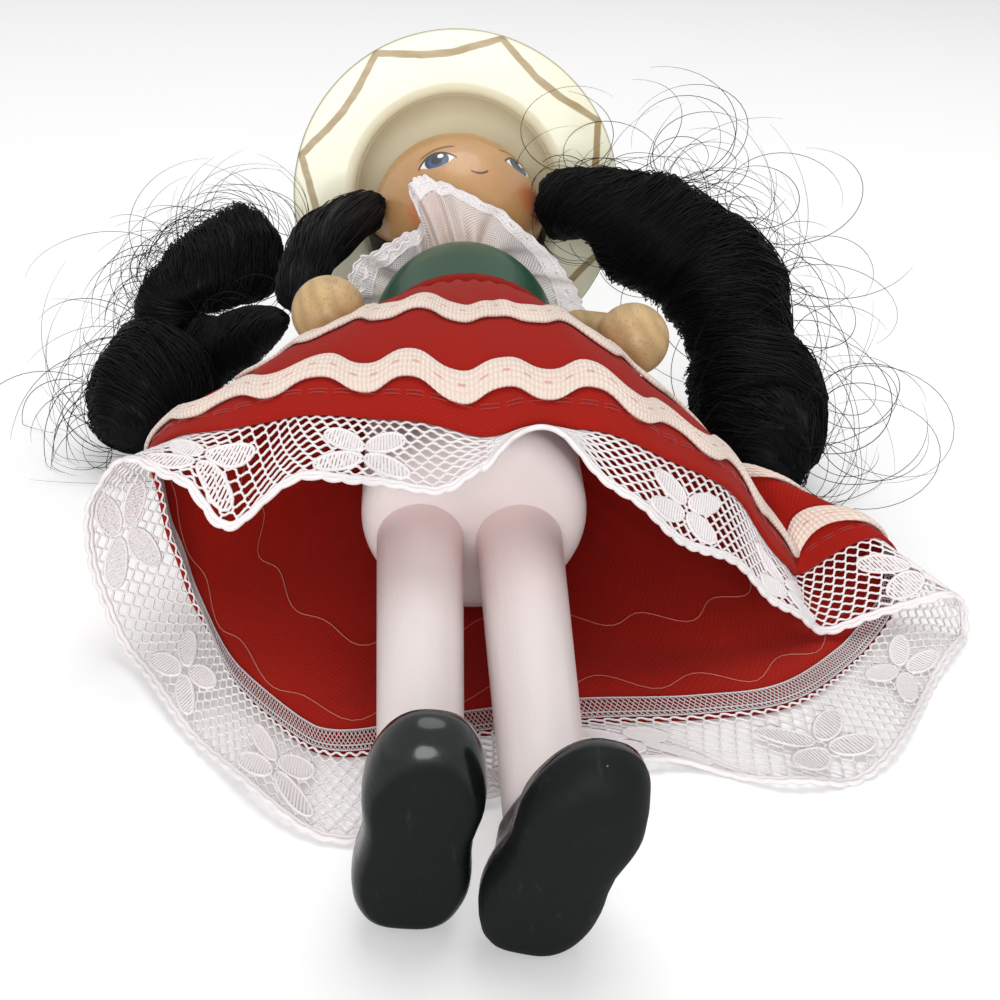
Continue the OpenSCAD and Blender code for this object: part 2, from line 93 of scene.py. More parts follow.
RIGHT_FULL = 5.0
SIDE_SCALE = 27 / 4
HIP_KEEP = 6.0
HIP_FADE = 14.0
FLOOR_GAP = 0.3

# Collar edge round the neck, standing doll, clockwise from the front.
COLLAR = [
    (-1.7, 118, 11.4), (5.7, 117, 8.1), (13.2, 114, 2.7), (17, 109, -1), (17.5, 104, -4),
    (13, 104, -9), (5, 105, -13), (-5, 105, -13), (-12.5, 104, -9.5), (-16, 103, -4),
    (-16.5, 102, 0.5), (-15, 107, 4), (-9.5, 112, 5.5), (-5.5, 114.5, 7.5), (-7.6, 116.3, 11.4),
    (-6, 117.3, 13)]
COLLAR_H = 109.6
COLLAR_SEAT = 5.65
COLLAR_FOLDS = 16
NECK_GATHER = 1.6

# Hair: routes of the ringlets, measured from the head's centre.
FACE_LOCK = [(-14.5, -8.5, 4.5), (-20, -19.5, 5), (-22.5, -28, 3.4), (-24, -34.5, 1.4)]
RIGHT_UPPER = [
    (-29, -5, -2.3), (-33, -8.5, -2.6), (-39, -15, -3.6), (-43.5, -19.5, -5.6), (-42, -22, -10)]
RIGHT_LOWER = [
    (-24.6, -33.6, -0.8), (-33, -25.5, -9), (-41.5, -24, -14), (-45.5, -35, -14), (-47, -42, -15.5)]
LEFT_CURL = [
    (15.5, -5.5, 5), (20.5, -13, 8), (29.5, -16.5, 4.8), (37, -20.5, 1.4), (40.5, -27, -4), (42, -36, -9.5),
    (41.5, -46, -12.5), (41, -55, -13)]

# Loose strands: the side that their loops open to, and the farthest that they reach.
OPEN_SIDE = Vector((0, -0.9, 0.43))
LOOSE_X = 68.5

HAT_TILT = math.radians(16)
HAT_AXIS = Vector((0, math.cos(HAT_TILT), -math.sin(HAT_TILT)))
HAT_FRONT = Vector((0, math.sin(HAT_TILT), math.cos(HAT_TILT)))
HAT_CENTRE = HEAD + 2.7 * HAT_AXIS + 2.75 * HAT_FRONT
BRIM_R = 26.2
HAT_T = 1.0
RECESS_R = 16.3
CROWN_TOP_R = 8.0
CROWN_H = 10.8
LIP_ROUND = 2.0

CAMERA_PLACE = Vector((-9.0, -159.586, 83.6)) * MM
CAMERA_PITCH, CAMERA_YAW, CAMERA_ROLL = (math.radians(a) for a in (25.5, 4.05, 2.2))


def srgb(red, green, blue):
    """An 8-bit screen colour as a linear one."""
    def linear(part):
        part /= 255
        return part / 12.92 if part <= 0.04045 else ((part + 0.055) / 1.055) ** 2.4
    return (linear(red), linear(green), linear(blue))


def lay_matrix():
    """Takes the standing doll, in mm, to the lying one, in metres."""
    pin = next(j for j in frame["joints"] if j["name"] == "left_shoulder")
    turn = Matrix.Rotation(RECLINE, 4, "X") @ Matrix.Scale(MM, 4)
    return Matrix.Translation(Vector(pin["pos_m"]) - turn @ PIN_END) @ turn


LAY = lay_matrix()
UNLAY = LAY.inverted()


def length_prop(name, description, default):
    return FloatProperty(name=name, description=description + ", mm", default=default)


def count_prop(name, description, default, least=1):
    return IntProperty(name=name, description=description, default=default, min=least)


def colour_prop(name, description, *parts):
    return FloatVectorProperty(name=name, description=description, subtype="COLOR", default=srgb(*parts))


class DollSizes(bpy.types.PropertyGroup):
    """Sizes of the cloth, lace and hair"""
    gathers: count_prop("Gathers", "Folds round the skirt's waist", 44, 12)
    gather_depth: length_prop("Gather depth", "Depth of a fold at the waist", 0.22)
    cloth_t: length_prop("Cloth", "Thickness of the skirt's cloth", 0.36)
    braid_w: length_prop("Braid width", "Width of the wavy braid", 3.9)
    braid_pitch: length_prop("Braid pitch", "Length of one wave of the braid", 9.0)
    braid_wave: length_prop("Braid wave", "Height of the braid's wave", 1.15)
    lower_braid_up: length_prop("Lower braid", "Lower braid above the hem", 6.0)
    upper_braid_up: length_prop("Upper braid", "Upper braid above the hem", 18.5)
    lace_cell: length_prop("Lace cell", "Width of one cell of the lace net", 1.6)
    lace_rows: count_prop("Lace rows", "Rows of cells across the lace", 10, 3)
    lace_thread: length_prop("Lace thread", "Radius of a net thread", 0.15)
    flower_pitch: length_prop("Flower pitch", "Distance between the lace flowers", 19.0)
    strands: count_prop("Strands", "Strands on the longest ringlet", 1100, 20)
    hair_r: length_prop("Hair", "Radius of a strand", 0.1)
    seed: count_prop("Seed", "Seed of the hair", 5)


class DollColours(bpy.types.PropertyGroup):
    """Colours of the paint, cloth and hair"""
    cream: colour_prop("Cream", "Hat lacquer", 255, 250, 222)
    gilt: colour_prop("Gilt", "Painted scallops on the brim", 158, 130, 72)
    skin: colour_prop("Skin", "Skin paint", 194, 147, 97)
    green: colour_prop("Green", "Bodice paint", 25, 66, 45)
    white: colour_prop("White", "Leg and hip paint", 240, 228, 226)
    black: colour_prop("Black", "Shoe paint", 15, 19, 18)
    wood: colour_prop("Wood", "Bare wood", 196, 163, 112)
    red: colour_prop("Red", "Skirt cloth", 170, 27, 14)
    braid: colour_prop("Braid", "Wavy braid", 244, 226, 212)
    lace: colour_prop("Lace", "Lace thread", 246, 240, 240)
    hair: colour_prop("Hair", "Wig hair", 13, 13, 16)
    floor: colour_prop("Floor", "Floor", 236, 236, 236)


def sizes():
    return bpy.context.scene.doll_sizes


def colours():
    return bpy.context.scene.doll_colours


def binary(operation, swapped=False):
    """A method that joins two values, or a value and a number, by one math node."""
    def joined(self, other):
        first, second = (other, self) if swapped else (self, other)
        return self.finish.node("ShaderNodeMath", {"operation": operation}, {0: first, 1: second})
    return joined


class Value:
    """A shader socket that takes part in Python arithmetic."""

    __add__ = __radd__ = binary("ADD")
    __sub__ = binary("SUBTRACT")
    __rsub__ = binary("SUBTRACT", swapped=True)
    __mul__ = __rmul__ = binary("MULTIPLY")
    __truediv__ = binary("DIVIDE")
    __pow__ = binary("POWER")
    least = binary("MINIMUM")
    most = binary("MAXIMUM")
    atan2 = binary("ARCTAN2")

    def __init__(self, finish, socket):
        self.finish = finish
        self.socket = socket

    def __abs__(self):
        return self.one("ABSOLUTE")

    def one(self, operation):
        return self.finish.node("ShaderNodeMath", {"operation": operation}, {0: self})

    def rise(self, low, high):
        """0 below low, 1 above high, smooth between; high may be the lower one."""
        flip = low > high
        if flip:
            low, high = high, low
        sockets = {
            "Value": self, "From Min": low, "From Max": high,
            "To Min": float(flip), "To Max": float(not flip)}
        return self.finish.node("ShaderNodeMapRange", {"interpolation_type": "SMOOTHSTEP"}, sockets)


class Finish:
    """A procedural material."""

    def __init__(self, name, **constants):
        self.material = bpy.data.materials.new(name)
        self.material.use_nodes = True
        self.tree = self.material.node_tree
        self.shader = self.tree.nodes["Principled BSDF"]
        for socket, value in constants.items():
            self.shader.inputs[socket.replace("_", " ")].default_value = value

    def node(self, kind, settings=None, sockets=None, output=0):
        made = self.tree.nodes.new(kind)
        for name, value in (settings or {}).items():
            setattr(made, name, value)
        for name, value in (sockets or {}).items():
            self.put(made.inputs[name], value)
        return Value(self, made.outputs[output])

    def put(self, socket, value):
        if isinstance(value, Value):
            self.tree.links.new(value.socket, socket)
        elif socket.type == "RGBA" and len(value) == 3:
            socket.default_value = (*value, 1)
        else:
            socket.default_value = value

    def feed(self, **inputs):
        for socket, value in inputs.items():
            self.put(self.shader.inputs[socket.replace("_", " ")], value)
        return self

    def doll(self):
        """Places on the standing doll, in mm, from the piece's Object coordinates."""
        place = self.node("ShaderNodeTexCoord", output="Object")
        sockets = {
            "Vector": place, "Location": UNLAY.translation,
            "Rotation": (-RECLINE, 0, 0), "Scale": (1 / MM,) * 3}
        return self.node("ShaderNodeMapping", {"vector_type": "POINT"}, sockets)

    def uv(self, across, along):
        place = self.node("ShaderNodeTexCoord", output="UV")
        return self.node("ShaderNodeMapping", None, {"Vector": place, "Scale": (across, along, 1)})

    def parts(self, vector):
        split = self.node("ShaderNodeSeparateXYZ", None, {0: vector}).socket.node
        return [Value(self, split.outputs[axis]) for axis in range(3)]

    def dot(self, vector, direction):
        settings = {"operation": "DOT_PRODUCT"}
        return self.node("ShaderNodeVectorMath", settings, {0: vector, 1: direction}, "Value")

    def minus(self, vector, place):
        return self.node("ShaderNodeVectorMath", {"operation": "SUBTRACT"}, {0: vector, 1: place})

    def noise(self, vector, scale, detail=3.0, roughness=0.5):
        sockets = {"Vector": vector, "Scale": scale, "Detail": detail, "Roughness": roughness}
        return self.node("ShaderNodeTexNoise", None, sockets)

    def streaks(self, vector, scale, detail=3.0, roughness=0.5):
        """Noise that is drawn out along the axes where scale is small."""
        stretched = self.node("ShaderNodeMapping", None, {"Vector": vector, "Scale": scale})
        return self.noise(stretched, 1.0, detail, roughness)

    def mix(self, factor, first, second):
        return self.node("ShaderNodeMix", {"data_type": "RGBA"}, {0: factor, 6: first, 7: second}, 2)

    def blend(self, factor, colour, first, second):
        return self.mix(factor, tint(colour, first), tint(colour, second))

    def bump(self, height, distance, strength=1.0):
        sockets = {"Height": height, "Distance": distance * MM, "Strength": strength}
        return self.node("ShaderNodeBump", None, sockets)


def tint(colour, factor):
    return tuple(min(part * factor, 1) for part in colour)


def oval(x, y, wide, high):
    """0 at an oval's centre and 1 on its edge."""
    return (x / wide) ** 2.0 + (y / high) ** 2.0


def gloss_paint(name, colour, coat, skirt_shade=0.0):
    """Brushed lacquer: slow mottling, faint runs and small specks; the last argument paints a pink shade and
    red reflection from the skirt at the top of the legs, below the hips.
    """
    finish = Finish(name, Coat_Roughness=0.08, Specular_IOR_Level=0.5)
    place = finish.doll()
    mottle = finish.noise(place, 0.12, 4)
    runs = finish.streaks(place, (0.55, 0.08, 0.55))
    speck = finish.noise(place, 1.1, 2).rise(0.78, 0.83)
    base = finish.blend(mottle, colour, 0.94, 1.03)
    # Painted shade and painted red reflection from the skirt: pink towards the top of the legs.
    under_skirt = finish.parts(place)[1].rise(HIP_H - 22.0, HIP_H)
    base = finish.mix(under_skirt * skirt_shade, base, srgb(226, 188, 186))
    base = finish.mix(speck * 0.35, base, tint(colour, 0.45))
    finish.feed(Base_Color=base, Roughness=mottle * 0.2 + 0.3, Coat_Weight=coat)
    return finish.feed(Normal=finish.bump(runs + speck * 0.2, 0.25, 0.5))


def body_paint():
    """Green bodice above, white hips below; the hips' white is drawn darker than the legs' as a painted
    shade under the skirt.
    """
    finish = Finish("body_paint", Coat_Roughness=0.12, Specular_IOR_Level=0.14)
    place = finish.doll()
    height = finish.parts(place)[1]
    mottle = finish.noise(place, 0.14, 4)
    edge = finish.noise(place, 0.5, 2) * 1.2
    above = (height + edge).rise(76.0, 76.5)
    green, white = colours().green, colours().white
    # Painted shade: the hips' white is darkened, as under the skirt.
    hips = finish.blend(mottle, white, 0.82, 0.94)
    bodice = finish.blend(mottle, green, 0.7, 1.35)
    runs = finish.streaks(place, (0.5, 0.1, 0.5))
    finish.feed(Base_Color=finish.mix(above, hips, bodice), Roughness=mottle * 0.16 + 0.3, Coat_Weight=0.08)
    return finish.feed(Normal=finish.bump(runs, 0.3, 0.45))


def bare_wood():
    """Turned pale wood with growth lines along the doll's height and open pores."""
    finish = Finish("bare_wood", Coat_Weight=0.15, Coat_Roughness=0.3)
    place = finish.doll()
    warp = finish.noise(place, 0.15, 3)
    x, y, z = finish.parts(place)
    rings = ((x * 1.3 + z * 0.7 + warp * 9.0) * 2.0).one("SINE") * 0.5 + 0.5
    pores = finish.streaks(place, (4.0, 0.45, 4.0)).rise(0.56, 0.7)
    colour = colours().wood
    base = finish.blend(rings * 0.6, colour, 1.08, 0.72)
    base = finish.mix(pores * 0.45, base, tint(colour, 0.5))
    finish.feed(Base_Color=base, Roughness=rings * 0.12 + 0.42)
    return finish.feed(Normal=finish.bump(pores * -1.0 + rings * 0.3, 0.06, 0.6))


# The painted face: across, up and out of the face, from the head's centre.
FACE_ACROSS = Vector((0.946, 0.281, -0.161)).normalized()
FACE_OUT = Vector((0.243, -0.315, 0.918)).normalized()
FACE_UP = FACE_OUT.cross(FACE_ACROSS)
EYE_AT, EYE_W, EYE_TOP, EYE_LOW = 7.1, 2.9, 1.75, 1.25


def face_paint():
    """Skin paint with two almond eyes, thin brows, a nose line, a small mouth and blushed cheeks."""
    finish = Finish("face_paint", Coat_Roughness=0.1)
    place = finish.doll()
    local = finish.minus(place, HEAD)
    out = finish.dot(local, FACE_OUT)
    lon = finish.dot(local, FACE_ACROSS).atan2(out) * HEAD_R
    lat = (finish.dot(local, FACE_UP) / (HEAD_R + 0.05)).one("ARCSINE") * HEAD_R
    front = out.rise(0.5, 2.0)
    skin = colours().skin
    mottle = finish.noise(place, 0.2, 4)
    grain = finish.streaks(place, (1.6, 0.2, 1.6))
    base = finish.blend(mottle, skin, 0.86, 1.1)
    base = finish.mix(grain.rise(0.5, 0.75) * 0.2, base, tint(skin, 0.7))
    side = abs(lon)

    def spot(x, y, wide, high, soft):
        return oval(x - lon, lat - y, wide, high).one("SQRT").rise(1.0, 1.0 - soft)

    def stroke(mask, *colour):
        return finish.mix(mask * front, base, srgb(*colour))

    left_cheek = oval(lon - 9.6, lat + 4.8, 4.2, 3.2).rise(1.0, 0.0)
    right_cheek = oval(lon + 11.5, lat + 7.0, 4.6, 3.6).rise(1.0, 0.0)
    blush = left_cheek.most(right_cheek)
    base = stroke(blush * 0.55, 214, 96, 60)
    across = (side - EYE_AT) / EYE_W
    bow = 1.0 - across ** 2.0
    top = bow * EYE_TOP
    open_eye = (top - lat).least(lat + bow * EYE_LOW)
    white = open_eye.rise(-0.05, 0.12)
    base = stroke(white, 240, 238, 232)
    for eye in (-EYE_AT, EYE_AT):
        iris = spot(eye, 0.15, 2.0, 1.95, 0.15) * white
        base = stroke(iris, 56, 80, 122)
        rim = spot(eye, 0.15, 2.0, 1.95, 0.1) - spot(eye, -0.15, 1.6, 1.6, 0.3)
        base = stroke(rim.most(0.0) * white, 34, 48, 66)
        base = stroke(spot(eye, 0.3, 1.0, 1.1, 0.25) * white, 20, 26, 38)
        # Painted highlight: a white glint in each iris, up and towards the doll's left.
        base = stroke(spot(eye + 0.75, 0.85, 0.55, 0.5, 0.3), 255, 255, 255)
    lash = abs(lat - top).rise(0.34, 0.18) * abs(across).rise(1.12, 1.02)
    base = stroke(lash, 58, 40, 30)
    arch = 2.7 - ((side - 5.8) / 5.0) ** 2.0 * 1.9
    brow = abs(lat - arch).rise(0.36, 0.16) * side.rise(3.6, 4.2) * side.rise(10.2, 8.8)
    base = stroke(brow * 0.85, 96, 62, 36)
    nose = abs(lat + 3.5 - ((lon + 1.0) / 1.4) ** 2.0 * 0.45).rise(0.28, 0.1)
    nose *= abs(lon + 1.0).rise(1.55, 1.25)
    base = stroke(nose, 84, 46, 28)
    lips = abs(lat + 9.8 - (lon / 2.2) ** 2.0 * 0.6).rise(0.42, 0.25) * side.rise(1.9, 1.5)
    base = stroke(lips, 176, 52, 44)
    finish.feed(Base_Color=base, Roughness=mottle * 0.15 + 0.3, Coat_Weight=0.3)
    return finish.feed(Normal=finish.bump(grain, 0.12, 0.4))


def hat_lacquer():
    """Cream lacquer with gilt scallops painted along the brim, and a painted shade along the brim's thin
    edge.
    """
    finish = Finish("hat_lacquer", Coat_Roughness=0.12)
    place = finish.doll()
    local = finish.minus(place, HAT_CENTRE)
    across = finish.parts(local)[0]
    front = finish.dot(local, HAT_FRONT)
    up = finish.dot(local, HAT_AXIS)
    reach = (across ** 2.0 + front ** 2.0).one("SQRT")
    turn = across.atan2(front)
    mottle = finish.noise(place, 0.16, 4)
    brush = finish.streaks(place, (0.2, 1.4, 0.5))
    cream, gilt = colours().cream, colours().gilt
    base = finish.blend(mottle, cream, 0.92, 1.04)
    bow = abs(((turn - math.radians(14.7)) * 4.0).one("SINE")) ** 0.9
    wobble = finish.noise(place, 0.4, 1) * 0.4
    line = abs(reach - (BRIM_R - 0.5) + bow * 3.1 + wobble - 0.2)
    scallop = line.rise(0.7, 0.45) * abs(up).rise(2.6, 2.2)
    base = finish.mix(scallop * (0.7 + brush * 0.4), base, gilt)
    # Painted shade: a dark grey-olive line along the brim's thin edge.
    rim = reach.rise(BRIM_R - 0.35, BRIM_R - 0.1)
    base = finish.mix(rim * 0.75, base, srgb(120, 112, 84))
    finish.feed(Base_Color=base, Roughness=mottle * 0.15 + 0.3 + scallop * 0.12, Coat_Weight=0.35)
    return finish.feed(Normal=finish.bump(brush * 0.5 + scallop * 0.6, 0.12, 0.5))


def shoe_paint():
    """Thick black lacquer, dulled and scuffed on the sole."""
    finish = Finish("shoe_paint", Coat_Roughness=0.14, Specular_IOR_Level=0.12)
    place = finish.doll()
    height = finish.parts(place)[1]
    sole = height.rise(0.5, 0.1).most((height + 2.0).rise(0.5, 0.1))
    scuff = finish.streaks(place, (0.8, 0.3, 0.25), 5, 0.65)
    drops = finish.noise(place, 0.45, 3)
    scratch = scuff.rise(0.6, 0.72) * sole
    black = colours().black
    base = finish.blend(drops, black, 0.7, 1.25)
    base = finish.mix(sole * 0.3, base, srgb(26, 32, 31))
    dust = finish.noise(place, 1.3, 2).rise(0.77, 0.8) * sole
    base = finish.mix(scratch * 0.2, base, srgb(64, 68, 64))
    base = finish.mix(dust * 0.5, base, srgb(150, 152, 148))
    finish.feed(Base_Color=base, Roughness=sole * 0.3 + drops * 0.12 + 0.2, Coat_Weight=(1.0 - sole) * 0.55)
    return finish.feed(Normal=finish.bump(drops + scuff * sole * 0.4, 0.3, 0.5))


def woven(name, colour, across, along, deep=0.62, rough=0.82):
    """Plain weave in UV: across and along are the threads over the whole piece."""
    finish = Finish(name, Sheen_Weight=0.03, Sheen_Roughness=0.5, Specular_IOR_Level=0.15)
    u, v, _ = finish.parts(finish.uv(across, along))
    over = (u * math.pi).one("SINE") * (v * math.pi).one("SINE")
    weave = over * 0.5 + 0.5
    place = finish.doll()
    fade = finish.noise(place, 0.09, 4)
    slub = finish.noise(place, 1.1, 3)
    base = finish.blend(weave * 0.55 + slub * 0.3, colour, deep, 1.12)
    base = finish.mix(fade.rise(0.35, 0.75) * 0.3, base, tint(colour, 0.75))
    finish.feed(Base_Color=base, Roughness=slub * 0.15 + rough - 0.07)
    return finish.feed(Normal=finish.bump(weave + slub * 0.5, 0.05, 0.6))


def thread_finish(name, colour, deep=0.8, rough=0.7):
    """Twisted thread: slow shade changes and a fine fuzz."""
    finish = Finish(name, Sheen_Weight=0.25, Sheen_Roughness=0.4)
    place = finish.doll()
    slow = finish.noise(place, 0.2, 3)
    fine = finish.noise(place, 5.0, 2)
    base = finish.blend(slow * 0.5 + fine * 0.4, colour, deep, 1.05)
    finish.feed(Base_Color=base, Roughness=fine * 0.2 + rough - 0.1)
    return finish.feed(Normal=finish.bump(fine, 0.05, 0.5))


def hair_finish():
    """Black wig hair with a soft gloss."""
    finish = Finish("wig_hair", Specular_IOR_Level=0.1)
    place = finish.doll()
    slow = finish.noise(place, 0.3, 3)
    fine = finish.noise(place, 2.5, 2)
    hair = colours().hair
    base = finish.blend(slow * 0.6 + fine * 0.4, hair, 0.3, 1.3)
    finish.feed(Base_Color=base, Roughness=fine * 0.2 + 0.36)
    return finish.feed(Normal=finish.bump(fine, 0.04, 0.3))


def smooth(t):
    t = min(max(t, 0.0), 1.0)
    return t * t * (3 - 2 * t)


def curve_at(p0, p1, p2, p3, t):
    """Catmull-Rom between p1 and p2."""
    bend = 2 * p0 - 5 * p1 + 4 * p2 - p3
    twist = 3 * p1 - p0 - 3 * p2 + p3
    return 0.5 * (2 * p1 + (p2 - p0) * t + bend * t ** 2 + twist * t ** 3)


def closed_line(points, u):
    count = len(points)
    base = math.floor(u)
    four = [Vector(points[(base + k) % count]) for k in (-1, 0, 1, 2)]
    return curve_at(*four, u - base)


def open_line(points, t):
    """t runs from 0 to 1 along the points."""
    last = len(points) - 1
    base = min(int(t * last), last - 1)
    four = [Vector(points[min(max(base + k, 0), last)]) for k in (-1, 0, 1, 2)]
    return curve_at(*four, t * last - base)


def open_value(values, t):
    last = len(values) - 1
    base = min(int(t * last), last - 1)
    return values[base] + (values[base + 1] - values[base]) * smooth(t * last - base)


def lifted(point, low):
    """The lying place of a standing point, at least low mm above the floor."""
    place = LAY @ point
    place.z = max(place.z, low * MM)
    return place


def round_body(p):
    """Keeps the skirt outside the body."""
    need = SKIRT_R * smooth((p.y - HIP_H + HIP_KEEP + HIP_FADE) / HIP_FADE)
    out = math.hypot(p.x, p.z)
    if out >= need or out < 1e-6:
        return p
    return Vector((p.x * need / out, p.y, p.z * need / out))


def above_hips(points, u):
    return closed_line(points, u) + Vector((0, HIP_H, 0))


def waist_fold(turn):
    """The gathers round the waist, from -1 to 1."""
    drift = noise.noise(Vector((3 * math.sin(turn), 3 * math.cos(turn), 0.5)))
    return math.sin(sizes().gathers * turn + 2.5 * drift)


def skirt_place(u, v):
    """Middle of the skirt's cloth: u counts the hem's folds, v runs from waist to hem."""
    turn = TAU * u / FOLDS
    waist = Vector((SKIRT_R * math.sin(turn), SKIRT_TOP, SKIRT_R * math.cos(turn)))
    p = waist.lerp(above_hips(HEM, u), v)
    full = LEFT_FULL if math.sin(turn) > 0 else RIGHT_FULL
    p.x += full * SIDE_SCALE * v * v * (1 - v) * math.sin(turn)
    p.z += SKIRT_PUFF * 4 * v * (1 - v) * max(math.cos(turn), 0) ** 2
    out = Vector((p.x, 0, p.z)).normalized()
    pleat = sizes().gather_depth * (1 - v) ** 2 * waist_fold(turn)
    wave = 1.1 * v * noise.noise(Vector((4 * math.sin(turn), 4 * math.cos(turn), 2.2 * v)))
    p = round_body(p + out * (0.25 + pleat + wave))
    return lifted(p, 0.55 + 1.1 * smooth((1 - v) * 7))


def skirt_out(u, v):
    """Outward direction of the skirt."""
    along = skirt_place(u + 0.04, v) - skirt_place(u - 0.04, v)
    down = skirt_place(u, min(v + 0.02, 1)) - skirt_place(u, max(v - 0.02, 0))
    return down.cross(along).normalized()


def skirt_up(u, up):
    """The v that lies up mm above the hem."""
    return 1 - up * MM / (skirt_place(u, 1) - skirt_place(u, 0)).length


def lace_place(u, w):
    """The lace from its sewn edge inside the hem, w 0, to its free edge, w 1."""
    hem = skirt_place(u, 1) - skirt_out(u, 1) * 0.4 * MM
    edge = lifted(above_hips(LACE, u), 0.3)
    place = hem.lerp(edge, w)
    place.z += 0.45 * MM * math.sin(u * 5.3) * w
    place.z = max(place.z, FLOOR_GAP * MM)
    return place


class EvenRing:
    """Even steps round a closed line that is given by u."""

    def __init__(self, place, steps=960):
        self.turns = [FOLDS * k / steps for k in range(steps + 1)]
        spots = [place(u) for u in self.turns]
        self.runs = [0.0]
        for a, b in zip(spots, spots[1:]):
            self.runs.append(self.runs[-1] + (b - a).length)
        self.length = self.runs[-1] / MM

    def u(self, share):
        """u at a share of the way round; shares past 1 go on round."""
        whole = math.floor(share)
        want = (share - whole) * self.runs[-1]
        low = min(bisect.bisect_right(self.runs, want), len(self.runs) - 1) - 1
        high = low + 1
        part = (want - self.runs[low]) / max(self.runs[high] - self.runs[low], 1e-9)
        return self.turns[low] + (self.turns[high] - self.turns[low]) * part + whole * FOLDS


def keep(obj, finish, body="doll", nodes=()):
    """Gives a new piece its finish and body, and hides the solids that it stands for."""
    obj.data.materials.clear()
    obj.data.materials.append(finish.material)
    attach(obj, body)
    if nodes:
        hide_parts(*nodes)
    return obj


def new_object(name, mesh, rounded=True):
    obj = bpy.data.objects.new(name, mesh)
    bpy.context.scene.collection.objects.link(obj)
    if rounded:
        mesh.shade_smooth()
    return obj


def from_bmesh(name, bm, rounded=True):
    mesh = bpy.data.meshes.new(name)
    bm.to_mesh(mesh)
    bm.free()
    return new_object(name, mesh, rounded)


def grid_sheet(name, columns, rows, place):
    """A grid whose points move to place(across, along), both from 0 to 1, closed where its sides meet."""
    bm = bmesh.new()
    bm.loops.layers.uv.new("UVMap")
    bmesh.ops.create_grid(bm, x_segments=columns, y_segments=rows, size=0.5, calc_uvs=True)
    for vert in bm.verts:
        vert.co = place(vert.co.x + 0.5, vert.co.y + 0.5)
    bmesh.ops.remove_doubles(bm, verts=bm.verts, dist=1e-6)
    return from_bmesh(name, bm)


def turned(name, outline, place):
    """A turned piece: an outline of radii and heights, put round an axis by place(turn, radius, height)."""
    last = len(outline) - 1
    return grid_sheet(name, 112, last, lambda a, b: place(TAU * a, *outline[round(b * last)]))


def arc(steps):
    """Sine and cosine over a quarter turn."""
    return [(math.sin(math.pi / 2 * k / steps), math.cos(math.pi / 2 * k / steps)) for k in range(steps + 1)]


def thicken(obj, thickness, offset=0.0):
    wall = obj.modifiers.new("Thickness", "SOLIDIFY")
    wall.thickness = thickness * MM
    wall.offset = offset
    return obj


def threads(name, lines, radius, closed=False, taper=False, sides=0):
    """Round threads along lines of places, as one mesh."""
    curve = bpy.data.curves.new(name, "CURVE")
    curve.dimensions = "3D"
    curve.bevel_depth = radius * MM
    curve.bevel_resolution = sides
    curve.use_fill_caps = True
    for line in lines:
        spline = curve.splines.new("POLY")
        spline.points.add(len(line) - 1)
        spline.points.foreach_set("co", [part for p in line for part in (*p, 1.0)])
        spline.use_cyclic_u = closed
        if taper:
            last = len(line) - 1
            spline.points.foreach_set("radius", [1 - 0.75 * (k / last) ** 3 for k in range(last + 1)])
    drawn = bpy.data.objects.new(name, curve)
    bpy.context.scene.collection.objects.link(drawn)
    mesh = bpy.data.meshes.new_from_object(drawn.evaluated_get(bpy.context.evaluated_depsgraph_get()))
    bpy.data.objects.remove(drawn)
    bpy.data.curves.remove(curve)
    mesh.name = name
    return new_object(name, mesh)


def paint_nodes(finish, *names):
    for name in names:
        data = frame["nodes"][name].data
        data.materials.clear()
        data.materials.append(finish.material)


